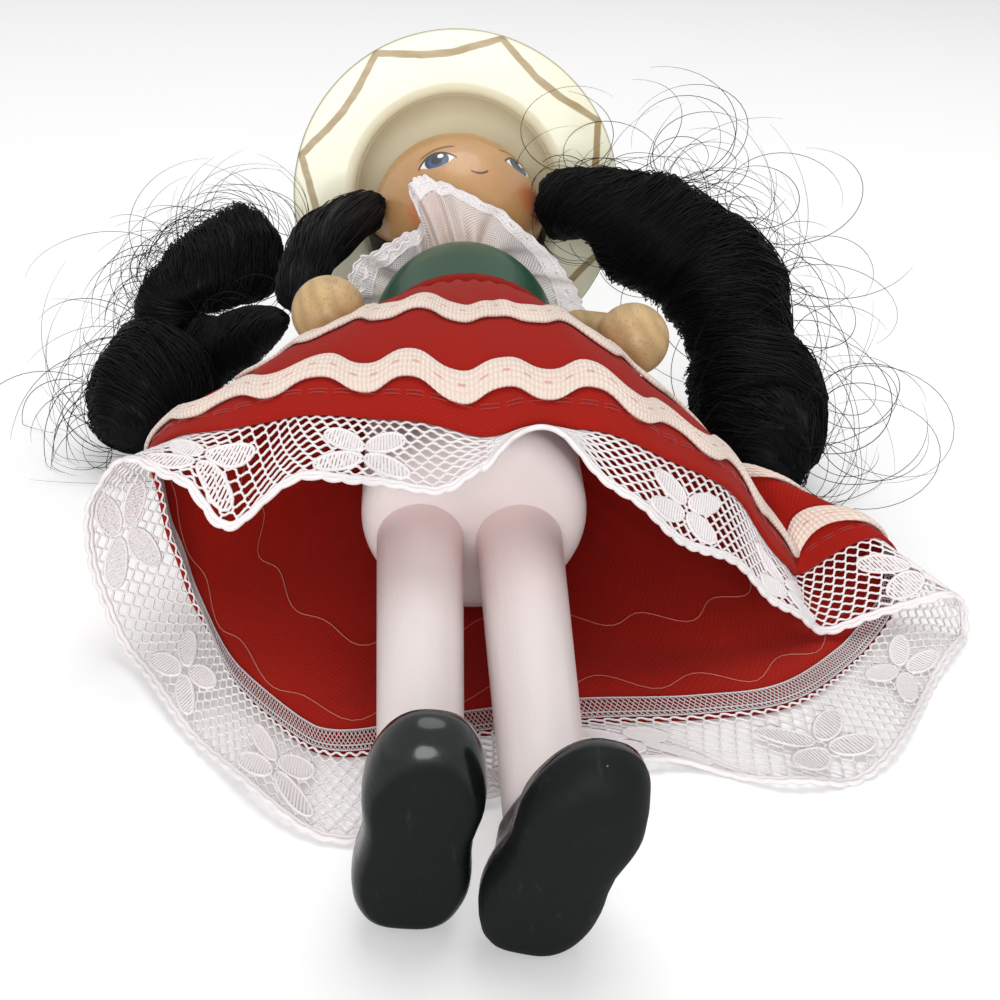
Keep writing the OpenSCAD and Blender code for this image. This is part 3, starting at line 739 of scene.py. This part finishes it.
class DOLL_OT_stage(bpy.types.Operator):
    """Floor, soft light and the camera"""
    bl_idname = "doll.stage"
    bl_label = "Stage"

    # Lamp, place in metres and watts.
    LAMPS = (("overhead", (0.05, 0.12, 0.85), 2.9), ("front_fill", (-0.1, -0.98, 0.27), 6.2))
    LAMP_SIZE = 0.6
    FLOOR_GLOW = 0.27
    ROOM_LIGHT = 0.43

    def execute(self, context):
        scene = context.scene
        scene.view_settings.view_transform = "Standard"
        bm = bmesh.new()
        bmesh.ops.create_grid(bm, x_segments=4, y_segments=4, size=3.0)
        floor = from_bmesh("floor", bm, rounded=False)
        finish = Finish("floor_paper", Emission_Strength=1.0)
        seen = finish.node("ShaderNodeLightPath", output="Is Camera Ray")
        finish.feed(Emission_Color=seen * self.FLOOR_GLOW)
        place = finish.node("ShaderNodeTexCoord", output="Object")
        grain = finish.noise(place, 900, 3)
        pale = colours().floor
        finish.feed(Base_Color=finish.blend(grain, pale, 0.97, 1.02), Roughness=0.85)
        floor.data.materials.append(finish.material)
        world = bpy.data.worlds.new("soft_room")
        world.use_nodes = True
        nodes, links = world.node_tree.nodes, world.node_tree.links
        back = nodes["Background"]
        rays = nodes.new("ShaderNodeLightPath")
        seen = None
        for name in ("Is Camera Ray", "Is Glossy Ray", "Is Transmission Ray"):
            most = nodes.new("ShaderNodeMath")
            most.operation = "MAXIMUM"
            links.new(rays.outputs[name], most.inputs[0])
            most.inputs[1].default_value = 0
            if seen:
                links.new(seen, most.inputs[1])
            seen = most.outputs[0]
        strength = nodes.new("ShaderNodeMapRange")
        strength.inputs["To Min"].default_value = self.ROOM_LIGHT
        strength.inputs["To Max"].default_value = 1.0
        links.new(seen, strength.inputs["Value"])
        links.new(strength.outputs[0], back.inputs["Strength"])
        back.inputs["Color"].default_value = (1, 1, 1, 1)
        scene.world = world
        for name, place, power in self.LAMPS:
            lamp = bpy.data.lights.new(name, "AREA")
            lamp.shape = "DISK"
            lamp.size = self.LAMP_SIZE
            lamp.energy = power
            light = bpy.data.objects.new(name, lamp)
            light.location = place
            light.rotation_euler = (-Vector(place)).to_track_quat("-Z", "Y").to_euler()
            scene.collection.objects.link(light)
        lens = bpy.data.cameras.new("camera")
        lens.lens = 50
        lens.sensor_width = 36
        lens.clip_start = 0.005
        camera = bpy.data.objects.new("camera", lens)
        turn = Matrix.Rotation(-CAMERA_YAW, 4, "Z") @ Matrix.Rotation(math.pi / 2 - CAMERA_PITCH, 4, "X")
        turn = turn @ Matrix.Rotation(CAMERA_ROLL, 4, "Z")
        camera.matrix_world = Matrix.Translation(CAMERA_PLACE) @ turn
        scene.collection.objects.link(camera)
        scene.camera = camera
        return {"FINISHED"}


class DOLL_OT_paint(bpy.types.Operator):
    """Paint on the turned wood: body, neck, legs, head, hat, arms and hands"""
    bl_idname = "doll.paint"
    bl_label = "Painted wood"

    def execute(self, context):
        body = turned("body_turned", self.body_outline(), self.on_body)
        keep(body, body_paint(), nodes=["body"])
        paint_nodes(gloss_paint("skin_lacquer", colours().skin, 0.3), "neck")
        # The 0.5 is the legs' painted pink shade and red reflection under the skirt.
        paint_nodes(gloss_paint("leg_lacquer", colours().white, 0.25, 0.5), "left_leg", "right_leg")
        paint_nodes(face_paint(), "head")
        hat = turned("sombrero_turned", self.hat_outline(), self.on_head)
        keep(hat, hat_lacquer(), nodes=["sombrero"])
        paint_nodes(bare_wood(), "left_arm", "right_arm", "left_hand", "right_hand", "shoulder_pin")
        return {"FINISHED"}

    def on_body(self, turn, radius, height):
        return LAY @ Vector((radius * math.sin(turn), height, radius * math.cos(turn)))

    def on_head(self, turn, radius, height):
        across = Vector((math.sin(turn), 0, 0)) + HAT_FRONT * math.cos(turn)
        return LAY @ (HAT_CENTRE + HAT_AXIS * height + across * radius)

    def body_outline(self):
        """Hips with a rounded edge, straight sides and domed shoulders."""
        inner = BODY_R - HIP_ROUND
        hips = [(inner + HIP_ROUND * sin, HIP_H + HIP_ROUND - HIP_ROUND * cos) for sin, cos in arc(10)]
        dome = [(BODY_R * cos, SHOULDER_H + DOME_H * sin) for sin, cos in arc(24)]
        return [(0, HIP_H), (inner - 0.5, HIP_H)] + hips + dome

    def hat_outline(self):
        """From the crown's inside over the lip to the brim, and back over the crown's outside."""
        flare = RECESS_R - CROWN_TOP_R
        inside = [
            (CROWN_TOP_R + flare * sin, CROWN_H * cos) for sin, cos in arc(24) if CROWN_H * cos > LIP_ROUND]
        lip = [(RECESS_R + LIP_ROUND - LIP_ROUND * cos, LIP_ROUND - LIP_ROUND * sin) for sin, cos in arc(10)]
        edge = BRIM_R - HAT_T / 2
        rim = [(edge + HAT_T / 2 * sin, HAT_T / 2 - HAT_T / 2 * cos) for sin, cos in arc(5)]
        rim += [(edge + HAT_T / 2 * cos, HAT_T / 2 + HAT_T / 2 * sin) for sin, cos in arc(5)[1:]]
        top = CROWN_H + HAT_T
        outside = [
            (CROWN_TOP_R + HAT_T + flare * cos, top * sin) for sin, cos in arc(24) if top * sin > HAT_T]
        foot = [(RECESS_R + LIP_ROUND + 0.4, HAT_T), (RECESS_R + LIP_ROUND, HAT_T + 0.05)]
        crown = [(0, CROWN_H), (CROWN_TOP_R - 0.4, CROWN_H)]
        return [*crown, *inside, *lip, *rim, *foot, *outside, (0, top)]


class DOLL_OT_shoes(bpy.types.Operator):
    """Carved shoes: a flat sole, a rounded toe and a vamp that rises to the ankle"""
    bl_idname = "doll.shoes"
    bl_label = "Shoes"

    # Height above the sole, inset at the sides and at the toe, share of the ankle's ring.
    LEVELS = (
        (0.0, 1.5, 3.2, 0.0), (0.12, 0.95, 2.5, 0.0), (0.45, 0.42, 1.7, 0.0), (1.0, 0.12, 0.9, 0.0),
        (1.9, 0.0, 0.3, 0.0), (3.0, 0.0, 0.0, 0.0), (4.1, 0.12, 0.2, 0.0), (5.1, 0.45, 0.9, 0.04),
        (6.0, 0.8, 1.6, 0.2), (6.9, 0.9, 1.6, 0.45), (7.8, 0.8, 1.2, 0.72), (8.4, 0.6, 0.8, 0.92),
        (8.6, 0.5, 0.6, 1.0))
    LENGTH, HALF_W, HEEL, WAIST = 22.2, 5.25, 6.2, 0.8
    ANKLE, LEG_BACK = 4.35, 1.5
    # Piece, leg's place across, sole's shift across, drop of the sole, turn of the toe in degrees.
    PAIR = (("left_shoe", 4.9, -0.9, 2.8, 17.0), ("right_shoe", -6.0, -0.7, 0.0, 6.0))

    def execute(self, context):
        paint = shoe_paint()
        for name, x, shift, drop, turn in self.PAIR:
            shoe = self.shoe(name, x, shift, drop, math.radians(turn))
            keep(shoe, paint, nodes=[name])
        return {"FINISHED"}

    def outline(self, turn, inset, toe_inset):
        """Across and forward of the sole's outline; turn 0 is the toe."""
        cos, sin = math.cos(turn), math.sin(turn)
        front = self.LENGTH / 2 - (toe_inset if cos > 0 else inset)
        square = 0.8 if cos > 0 else 0.64
        forward = front * math.copysign(abs(cos) ** square, cos) + self.LENGTH / 2 - self.HEEL
        waist = self.WAIST * math.exp(-((forward - 4.2) / 3.4) ** 2)
        blend = inset + (toe_inset - inset) * smooth((forward - 8) / 8)
        return (self.HALF_W - waist - blend) * math.copysign(abs(sin) ** square, sin), forward

    def shoe(self, name, x, shift, drop, turn):
        bm = bmesh.new()
        segments = 72
        bmesh.ops.create_circle(bm, cap_ends=False, segments=segments, radius=1.0)
        bm.verts.ensure_lookup_table()
        angles = [math.atan2(v.co.x, v.co.y) for v in bm.verts]
        ring, edges = list(bm.verts), list(bm.edges)

        def move(verts, level):
            up, inset, toe_inset, share = level
            for angle, vert in zip(angles, verts):
                across, forward = self.outline(angle, inset, toe_inset)
                across += (self.ANKLE * math.sin(angle) - across) * share
                forward += (self.ANKLE * math.cos(angle) - forward) * share
                vert.co = LAY @ Vector((
                    x + shift * (1 - share) + across * math.cos(turn) + forward * math.sin(turn), up - drop,
                    -self.LEG_BACK + forward * math.cos(turn) - across * math.sin(turn)))

        move(ring, self.LEVELS[0])
        bmesh.ops.contextual_create(bm, geom=edges)
        for level in self.LEVELS[1:]:
            bmesh.ops.extrude_edge_only(bm, edges=edges)
            fresh = {}
            for edge in bm.edges:
                a, b = edge.verts
                for old, new in ((a, b), (b, a)):
                    if old in ring and new not in ring:
                        fresh[old] = new
            ring = [fresh[v] for v in ring]
            edges = [e for e in bm.edges if e.verts[0] in set(ring) and e.verts[1] in set(ring)]
            move(ring, level)
        bmesh.ops.contextual_create(bm, geom=edges)
        bmesh.ops.recalc_face_normals(bm, faces=bm.faces)
        return from_bmesh(name + "_lacquer", bm)


class DOLL_OT_skirt(bpy.types.Operator):
    """Red skirt with its gathered waist, two rows of wavy braid and the stitched hem"""
    bl_idname = "doll.skirt"
    bl_label = "Skirt"

    STITCH_PITCH, STITCH_ROWS = 2.6, (3.0, 3.5)

    def execute(self, context):
        ring = EvenRing(lambda u: skirt_place(u, 0.75))
        hem_ring = EvenRing(lambda u: skirt_place(u, 1.0))
        red = woven("red_cloth", colours().red, 620, 150)
        skirt = grid_sheet("skirt_cloth", 300, 44, lambda a, b: skirt_place(ring.u(a), b))
        thicken(skirt, sizes().cloth_t)
        keep(skirt, red, nodes=["skirt"])

        def waist(a, b):
            turn = TAU * a
            full = math.sin(math.pi * min(max((b - 0.25) / 0.5, 0), 1))
            reach = SKIRT_R + 0.3 + 0.35 * full + 0.2 * sizes().gather_depth * waist_fold(turn)
            return LAY @ Vector((reach * math.sin(turn), SKIRT_TOP + 2.8 * b - 0.7, reach * math.cos(turn)))

        band = grid_sheet("gathered_waist", 264, 14, waist)
        thicken(band, sizes().cloth_t)
        keep(band, red, nodes=["waist_casing", "waist_elastic"])
        pieces = [band]
        braid = self.braid_finish()
        for name, up in (("upper_braid", sizes().upper_braid_up), ("lower_braid", sizes().lower_braid_up)):
            pieces.append(self.braid(name, up, ring, braid))
        pieces.append(self.hem_stitches(hem_ring))
        pieces.append(self.bobbin_thread(ring))
        context.scene["skirt_pieces"] = ",".join(p.name for p in pieces)
        return {"FINISHED"}

    def braid_finish(self):
        """Flat woven braid: ridges along it, fine ribs across, red stitch dots down its middle."""
        finish = Finish("braid_weave", Sheen_Weight=0.2)
        u, v, _ = finish.parts(finish.uv(1.0, 1.0))
        ribs = (u * (TAU * 420)).one("SINE") * 0.5 + 0.5
        ridges = (v * (TAU * 5)).one("COSINE") * 0.5 + 0.5
        place = finish.doll()
        soil = finish.noise(place, 0.25, 3)
        colour = colours().braid
        weave = ribs * (0.35 + ridges * 0.65)
        base = finish.blend(weave, colour, 0.84, 1.06)
        base = finish.mix(soil * 0.25, base, srgb(226, 190, 176))
        stitch = (u * 90.0).one("FRACT").rise(0.42, 0.3) * abs(v - 0.5).rise(0.07, 0.04)
        base = finish.mix(stitch * 0.5, base, srgb(196, 92, 78))
        finish.feed(Base_Color=base, Roughness=0.72 + soil * 0.1)
        return finish.feed(Normal=finish.bump(weave, 0.12, 0.8))

    def waves(self, ring):
        """Waves of a braid, which lies above the ring where the skirt is a little narrower."""
        return max(round(ring.length * 0.92 / sizes().braid_pitch), 8)

    def braid(self, name, up, ring, finish):
        wide, rise = sizes().braid_w, sizes().braid_wave
        waves = self.waves(ring)

        def place(a, b):
            u = ring.u(a)
            swing = math.sin(TAU * waves * a)
            swing = swing * (1.25 - 0.25 * swing * swing)
            v = skirt_up(u, up + swing * rise + (b - 0.5) * wide)
            crown = 0.5 + 0.22 * math.sqrt(max(1 - (2 * b - 1) ** 2, 0)) + 0.05 * math.cos(TAU * 5 * b)
            return skirt_place(u, v) + skirt_out(u, v) * crown * MM

        ribbon = grid_sheet(name + "_ribbon", waves * 16, 20, place)
        thicken(ribbon, 0.4)
        return keep(ribbon, finish, nodes=[name])

    def hem_stitches(self, ring):
        """Two rows of short red stitches above the hem."""
        lines = []
        stitches = int(ring.length / self.STITCH_PITCH)
        for up in self.STITCH_ROWS:
            for k in range(stitches):
                dash = []
                for part in (0.0, 0.25, 0.5, 0.75):
                    u = ring.u((k + part) / stitches)
                    v = skirt_up(u, up)
                    bury = 0.24 if part in (0.25, 0.5) else 0.1
                    dash.append(skirt_place(u, v) + skirt_out(u, v) * bury * MM)
                lines.append(dash)
        rows = threads("hem_stitches", lines, 0.1)
        return keep(rows, thread_finish("red_thread", colours().red, 0.6))

    def bobbin_thread(self, ring):
        """Pale thread inside the skirt, under each braid's wave."""
        lines = []
        waves = self.waves(ring)
        for up in (sizes().upper_braid_up, sizes().lower_braid_up):
            line = []
            for k in range(waves * 10):
                u = ring.u(k / (waves * 10))
                v = skirt_up(u, up + sizes().braid_wave * math.sin(TAU * waves * k / (waves * 10)))
                line.append(skirt_place(u, v) - skirt_out(u, v) * 0.26 * MM)
            lines.append(line)
        inside = threads("bobbin_thread", lines, 0.055, closed=True)
        return keep(inside, thread_finish("pale_thread", srgb(206, 116, 96)))


class DOLL_OT_lace_hem(bpy.types.Operator):
    """Net lace with four-petal flowers, sewn inside the hem"""
    bl_idname = "doll.lace_hem"
    bl_label = "Lace hem"

    # A flower's petals: half length, half width, and their centres' places across and along the lace.
    PETAL_L, PETAL_W, PETAL_X, PETAL_Y = 2.5, 1.6, 2.75, 2.0
    FLOWER_DEPTH, FLOWER_AT = 11.5, 0.54
    PICOT_PITCH, HEADING_PITCH = 2.1, 1.1

    def execute(self, context):
        ring = EvenRing(lambda u: lace_place(u, 0.6))
        cells = round(ring.length / sizes().lace_cell)
        rows = sizes().lace_rows
        white = thread_finish("lace_thread", colours().lace, 0.86)
        net = threads("lace_net", self.net(ring, cells, rows), sizes().lace_thread)
        keep(net, white, nodes=["lace_hem"])
        outline, hatch = self.flowers(ring)
        pieces = [
            net, threads("lace_flower_cords", outline, 0.2, closed=True),
            threads("lace_flower_fill", hatch, 0.17),
            threads("lace_edge", self.edge(ring), 0.3, closed=True, sides=1),
            threads("lace_heading", self.heading(ring), 0.09)]
        for piece in pieces[1:4]:
            keep(piece, white)
        # The heading's thread is the lace's white drawn darker, a painted shade inside the skirt.
        keep(pieces[4], thread_finish("shaded_heading_thread", tint(colours().lace, 0.8), 0.8))
        return {"FINISHED"}

    def net(self, ring, cells, rows):
        """Wavy rows joined by short bars, which makes six-sided cells."""
        lines = []
        step = 1 / (rows + 0.5)
        swing = 0.22 * step
        wave = ((0.0, 1), (0.25, 1), (0.5, -1), (0.75, -1))
        for row in range(rows + 1):
            middle = min(step * (row + 0.1), 0.985)
            shift = 0.5 * (row % 2)
            line = []
            for k in range(cells):
                for part, side in wave:
                    u = ring.u((k + part + shift) / cells)
                    line.append(lace_place(u, min(max(middle + side * swing, 0), 1)))
            line.append(line[0])
            lines.append(line)
            if row == rows:
                continue
            for k in range(cells):
                u = ring.u((k + 0.125 + shift) / cells)
                lines.append([lace_place(u, middle + swing), lace_place(u, min(middle + step - swing, 1))])
        return lines

    def flowers(self, ring):
        """Closed petal cords and the fine threads that fill them."""
        flowers = round(ring.length / sizes().flower_pitch)
        outline, hatch = [], []
        for k in range(flowers):
            centre = (k + 0.35) / flowers
            depth = (lace_place(ring.u(centre), 1) - lace_place(ring.u(centre), 0)).length / MM
            fit = min(1.0, depth / self.FLOWER_DEPTH)
            for side in (-1, 1):
                for level in (-1, 1):
                    def spot(x, y):
                        lean = 0.35 * x * side * level
                        share = centre + (side * self.PETAL_X + x) / ring.length
                        across = self.FLOWER_AT + (level * self.PETAL_Y + y + lean) * fit / depth
                        place = lace_place(ring.u(share), min(max(across, 0), 0.98))
                        place.z += 0.12 * MM
                        return place
                    turns = [TAU * s / 16 for s in range(16)]
                    outline.append([
                        spot(self.PETAL_L * math.cos(a), self.PETAL_W * math.sin(a)) for a in turns])
                    for step in range(-5, 6):
                        x = step * 0.4
                        high = self.PETAL_W * math.sqrt(1 - (x / self.PETAL_L) ** 2)
                        hatch.append([spot(x, high * t) for t in (-1, -0.33, 0.33, 1)])
        return outline, hatch

    def edge(self, ring):
        """Thick overcast cords along the free edge, with small picots."""
        lines = []
        picots = round(ring.length / self.PICOT_PITCH)
        for inset, swing in ((0.0, 0.3), (0.55, 0.12)):
            line = []
            for k in range(picots * 6):
                share = k / (picots * 6)
                u = ring.u(share)
                place = lace_place(u, 1)
                back = (lace_place(u, 0.9) - place).normalized()
                wave = swing * (1 - abs(math.sin(math.pi * picots * share)))
                place += back * (inset + wave) * MM
                place.z = max(place.z, FLOOR_GAP * MM)
                line.append(place)
            lines.append(line)
        return lines

    def heading(self, ring):
        """The lace's sewn-in heading inside the skirt: a small net along three cords."""
        lines = []
        rungs = 2 * round(ring.length / self.HEADING_PITCH)

        def spot(share, up):
            u = ring.u(share)
            v = skirt_up(u, up)
            return skirt_place(u, v) - skirt_out(u, v) * 0.42 * MM

        for up in (0.4, 1.2, 3.4):
            lines.append([spot(k / rungs, up) for k in range(rungs)])
            lines[-1].append(lines[-1][0])
        for first in (0, 1):
            for low, high in ((0.4, 1.4), (1.4, 2.4), (2.4, 3.4)):
                line = [spot(k / rungs, (low, high)[(k + first) % 2]) for k in range(rungs)]
                lines.append(line + [line[0]])
        return lines


def collar_place(turn, w):
    """The collar from its gathered neck edge, w 0, to its free edge, w 1; turn runs from 0 to 1."""
    angle = TAU * turn
    inner = Vector((COLLAR_SEAT * math.sin(angle), COLLAR_H, COLLAR_SEAT * math.cos(angle)))
    edge = closed_line(COLLAR, turn * len(COLLAR) - 0.2)
    p = inner.lerp(edge, w)
    fold = 0.9 * w * (1 - 0.6 * w) + NECK_GATHER * max(1 - w, 0) ** 1.5
    p.y += fold * math.sin(COLLAR_FOLDS * angle) + 0.4 * math.sin(27 * angle + 1) * w
    front = max(math.cos(angle), 0) ** 2
    p.z += front * 2.4 * math.sin(math.pi * w) * 0.6
    return LAY @ p


class DOLL_OT_collar(bpy.types.Operator):
    """Gathered lace collar round the neck, one fold of it standing up"""
    bl_idname = "doll.collar"
    bl_label = "Lace collar"

    RUNGS = 230

    def execute(self, context):
        tulle = self.tulle()
        sheet = grid_sheet("collar_tulle", 320, 16, collar_place)
        keep(sheet, tulle, nodes=["lace_collar"])
        white = thread_finish("collar_thread", colours().lace, 0.88)
        cords = threads("collar_cords", self.cords(), 0.2, closed=True)
        ladders = threads("collar_ladders", self.ladders(), 0.15)
        for piece in (cords, ladders):
            keep(piece, white)
        return {"FINISHED"}

    def tulle(self):
        """Fine net: opaque threads and open cells in UV."""
        finish = Finish("collar_tulle")
        u, v, _ = finish.parts(finish.uv(210.0, 22.0))
        lattice = abs(((u + v) * math.pi).one("SINE")).least(abs(((u - v) * math.pi).one("SINE")))
        around, out, _ = finish.parts(finish.uv(54.0, 1.0))
        border = out.rise(0.68, 0.72)
        eyelet = oval(around.one("FRACT") - 0.5, out - 0.7, 0.3, 0.05).rise(1.0, 0.7)
        gap = oval((around + 0.5).one("FRACT") - 0.5, out - 0.87, 0.22, 0.03).rise(1.0, 0.7)
        thread = lattice.rise(0.42, 0.26).most(border) * (1.0 - eyelet) * (1.0 - gap)
        slow = finish.noise(finish.doll(), 0.3, 3)
        white = colours().lace
        finish.feed(Base_Color=finish.blend(slow, white, 0.9, 1.05), Roughness=0.8)
        finish.feed(Alpha=thread * 0.5 + border * 0.1 + 0.38)
        return finish

    def cords(self):
        """Thick threads along the collar: its scalloped edge and the cords of its border."""
        lines = []
        turns = [k / 480 for k in range(480)]
        for w, swing, beats in ((1.0, 0.02, 60), (0.95, 0.0, 1), (0.82, 0.035, 44), (0.7, 0.0, 1)):
            lines.append([collar_place(turn, w - swing * math.sin(TAU * beats * turn)) for turn in turns])
        return lines

    def ladders(self):
        """Fine threads across the border."""
        lines = []
        for k in range(self.RUNGS):
            turn = (k + 0.5) / self.RUNGS
            lines.append([collar_place(turn, w) for w in (0.7, 0.76, 0.82)])
            lines.append([collar_place(turn + 0.001, w) for w in (0.86, 0.92, 0.99)])
        return lines


class Ringlet:
    """A rolled curl of hair along a route from the head."""

    def __init__(self, route, radii, rooted, turns, lobes):
        self.rooted = rooted
        self.lobes = lobes
        self.turns = turns
        start = []
        if rooted:
            way = Vector(route[0]).normalized()
            start = [way * (HEAD_R + 0.8), way * (HEAD_R + 4)]
            route = route[1:]
        self.points = [Vector(p) + HEAD for p in (*start, *route)]
        self.radii = radii
        self.long = self.length()

    def centre(self, t):
        place = LAY @ open_line(self.points, t)
        place.z = max(place.z, (self.radius(t) + 0.2) * MM)
        return place

    def radius(self, t):
        return open_value(self.radii, t)

    def axes(self, t):
        along = (self.centre(min(t + 0.01, 1)) - self.centre(max(t - 0.01, 0))).normalized()
        side = along.cross(Vector((0, 0, 1))).normalized()
        return side, side.cross(along)

    def bulge(self, t, angle):
        """Rolled lobes with lumps on them, and closed ends."""
        lobe = 0.8 + 0.26 * math.sqrt(abs(math.sin(math.pi * self.lobes * t)))
        spot = Vector((1.7 * math.cos(angle), 1.7 * math.sin(angle), 0.16 * t * self.long + self.long))
        lump = noise.noise(spot)
        tip = math.sqrt(max(1 - max((t - 0.9) / 0.1, 0) ** 2, 0))
        start = 0.05 if self.rooted else 0.12
        tip *= math.sqrt(max(1 - max((start - t) / start, 0) ** 2, 0))
        return (lobe + 0.17 * lump) * tip

    def spot(self, t, angle, share):
        side, rise = self.axes(t)
        out = side * math.cos(angle) + rise * math.sin(angle)
        place = self.centre(t) + out * self.radius(t) * share * self.bulge(t, angle) * MM
        place.z = max(place.z, 0.35 * MM)
        return place

    def length(self):
        spots = [self.centre(k / 60) for k in range(61)]
        return sum((b - a).length for a, b in zip(spots, spots[1:])) / MM

    def strands(self, count, draw):
        """Strands that wind round the curl, each over a part of its length."""
        lines = []
        for k in range(count):
            start = max(draw.uniform(-0.1, 0.8), 0.0)
            end = min(start + draw.uniform(0.18, 0.45), 1.0)
            phase = draw.uniform(0, TAU)
            pitch = TAU * self.turns * draw.uniform(0.4, 1.5)
            share = draw.uniform(0.9, 0.985) + draw.choice((0, 0, 0, 0, 0.03))
            steps = max(int(64 * (end - start)), 10)
            lines.append([
                self.spot(start + (end - start) * s / steps, phase + pitch * (end - start) * s / steps,
                          share * (1 + 0.025 * math.sin(7.0 * s / steps + phase)))
                for s in range(steps + 1)])
        return lines

    def core(self, name):
        return grid_sheet(name, 32, 80, lambda a, b: self.spot(b, TAU * a, 0.9))


def shaken(draw):
    return Vector((draw.uniform(-1, 1), draw.uniform(-1, 1), draw.uniform(-1, 1)))


class DOLL_OT_hair(bpy.types.Operator):
    """Black wig hair: the cap, rolled ringlets and loose strands"""
    bl_idname = "doll.hair"
    bl_label = "Hair"

    # Piece, loops, and the side that they bow to.
    LOOPS = (
        ("right_upper_ringlet", 8, (-0.75, 0, 0.65)), ("right_lower_ringlet", 14, (-0.9, 0, 0.4)),
        ("left_ringlet", 80, (0.85, 0, 0.5)))
    # Piece, wisps, and the degrees round the curl that they end between.
    WISPS = (
        ("right_upper_ringlet", 200, 20, 240), ("right_lower_ringlet", 100, 100, 260),
        ("left_ringlet", 110, -60, 110))
    LOOSE_R = 0.06

    def execute(self, context):
        black = hair_finish()
        draw = random.Random(sizes().seed)
        curls = {
            "right_face_lock": (Ringlet(FACE_LOCK, [2.4, 3.2, 3.9, 3.8, 2.2], True, 0.3, 1.3), 0.35),
            "right_upper_ringlet": (Ringlet(RIGHT_UPPER, [5.2, 6.6, 6.2, 4.4, 4.4], False, 1.6, 1.6), 0.5),
            "right_lower_ringlet": (Ringlet(RIGHT_LOWER, [2, 4, 8.4, 8.6, 4.5], False, 2.6, 2.4), 0.65),
            "left_ringlet": (
                Ringlet(LEFT_CURL, [4, 5, 6.2, 8.8, 9.4, 8.6, 9.2, 9.2, 5.5], True, 5.0, 4.4), 1.0)}
        for name, (curl, share) in curls.items():
            keep(curl.core(name + "_core"), black, nodes=[name])
            lines = curl.strands(int(sizes().strands * share), draw)
            strands = threads(name + "_strands", lines, sizes().hair_r, taper=True)
            keep(strands, black)
        self.cap(black)
        loose = []
        for name, count, way in self.LOOPS:
            loose += self.loops(curls[name][0], count, Vector(way), draw)
        for name, count, low, high in self.WISPS:
            loose += self.wisps(curls[name][0], count, math.radians(low), math.radians(high), draw)
        keep(threads("loose_hair", loose, self.LOOSE_R, taper=True), black)
        return {"FINISHED"}

    def cap(self, black):
        """The wig's plain cap, close over the back of the head."""
        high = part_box("wig_cap")[1]
        centre = LAY @ HEAD
        bm = bmesh.new()
        bmesh.ops.create_uvsphere(bm, u_segments=48, v_segments=24, radius=(HEAD_R + 1.0) * MM)
        bmesh.ops.translate(bm, verts=bm.verts, vec=centre)
        for vert in list(bm.verts):
            if vert.co.z > high[2] - 0.5 * MM:
                bm.verts.remove(vert)
        cap = from_bmesh("wig_cap_base", bm)
        thicken(cap, 0.8, -1.0)
        keep(cap, black, nodes=["wig_cap"])

    def loops(self, curl, count, way, draw):
        """Fine strands that bow out from the curl's outer side, in wide loops that end in the air."""
        lines = []
        while len(lines) < count:
            t = draw.uniform(0.1, 1.0)
            start = curl.spot(t, draw.uniform(0, TAU), 0.9)
            out = (start - curl.centre(t)).normalized()
            if out.dot(way) < 0.2:
                continue
            shake = shaken(draw)
            across = out.cross(OPEN_SIDE + 0.5 * shake).normalized() * draw.choice((-1, 1))
            reach = draw.uniform(2.0, 8.5) * MM
            sweep = draw.uniform(2.0, 5.4)
            line = []
            for s in range(29):
                a = sweep * s / 28
                swell = 1 + 0.3 * s / 28
                p = start + (out * (1 - math.cos(a)) + across * math.sin(a)) * reach * swell
                p.z = max(start.z + (p.z - start.z) * 0.75, 0.4 * MM)
                line.append(p)
            lines.append(self.drawn_in(start, line))
        return lines

    def wisps(self, curl, count, low, high, draw):
        """Fine strands that wind out of the curl and lie round its outer side."""
        lines = []
        side = Vector((1, 0, 0))
        rise = OPEN_SIDE.cross(side).normalized()
        for k in range(count):
            t = draw.uniform(0.1, 1.0)
            shake = shaken(draw)
            centre = curl.centre(t) + 3.0 * MM * shake
            radius = curl.radius(t) * MM
            grow = draw.uniform(0.25, 1.7)
            end = draw.uniform(low, high)
            sweep = draw.uniform(1.0, 2.8) * draw.choice((-1, 1))
            line = []
            for s in range(33):
                a = end - sweep * (1 - s / 32)
                reach = radius * (0.75 + grow * s / 32)
                p = centre + (side * math.cos(a) + rise * math.sin(a)) * reach
                p.z = max(p.z, 0.4 * MM)
                line.append(p)
            lines.append(self.drawn_in(line[0], line))
        return lines

    def drawn_in(self, start, line):
        """The strand, made smaller where it would reach too far."""
        far = max(abs(p.x) for p in line)
        room = LOOSE_X * MM - abs(start.x)
        share = min(room / max(far - abs(start.x), 1e-6), 1.0) if far > LOOSE_X * MM else 1.0
        return [start + (p - start) * share for p in line]


OPERATORS = (
    DOLL_OT_stage, DOLL_OT_paint, DOLL_OT_shoes, DOLL_OT_skirt, DOLL_OT_lace_hem, DOLL_OT_collar,
    DOLL_OT_hair)


class DOLL_PT_panel(bpy.types.Panel):
    """The doll's pieces"""
    bl_idname = "DOLL_PT_panel"
    bl_label = "Clothespin doll"
    bl_space_type = "VIEW_3D"
    bl_region_type = "UI"
    bl_category = "Doll"

    def draw(self, context):
        for operator in OPERATORS:
            self.layout.operator(operator.bl_idname)


CLASSES = (DollSizes, DollColours, *OPERATORS, DOLL_PT_panel)


def register():
    for cls in CLASSES:
        bpy.utils.register_class(cls)
    bpy.types.Scene.doll_sizes = PointerProperty(type=DollSizes)
    bpy.types.Scene.doll_colours = PointerProperty(type=DollColours)


def unregister():
    del bpy.types.Scene.doll_colours
    del bpy.types.Scene.doll_sizes
    for cls in reversed(CLASSES):
        bpy.utils.unregister_class(cls)


def main():
    register()
    bpy.ops.doll.stage()
    bpy.ops.doll.paint()
    bpy.ops.doll.shoes()
    bpy.ops.doll.skirt()
    bpy.ops.doll.lace_hem()
    bpy.ops.doll.collar()
    bpy.ops.doll.hair()


if __name__ == "__main__":
    main()
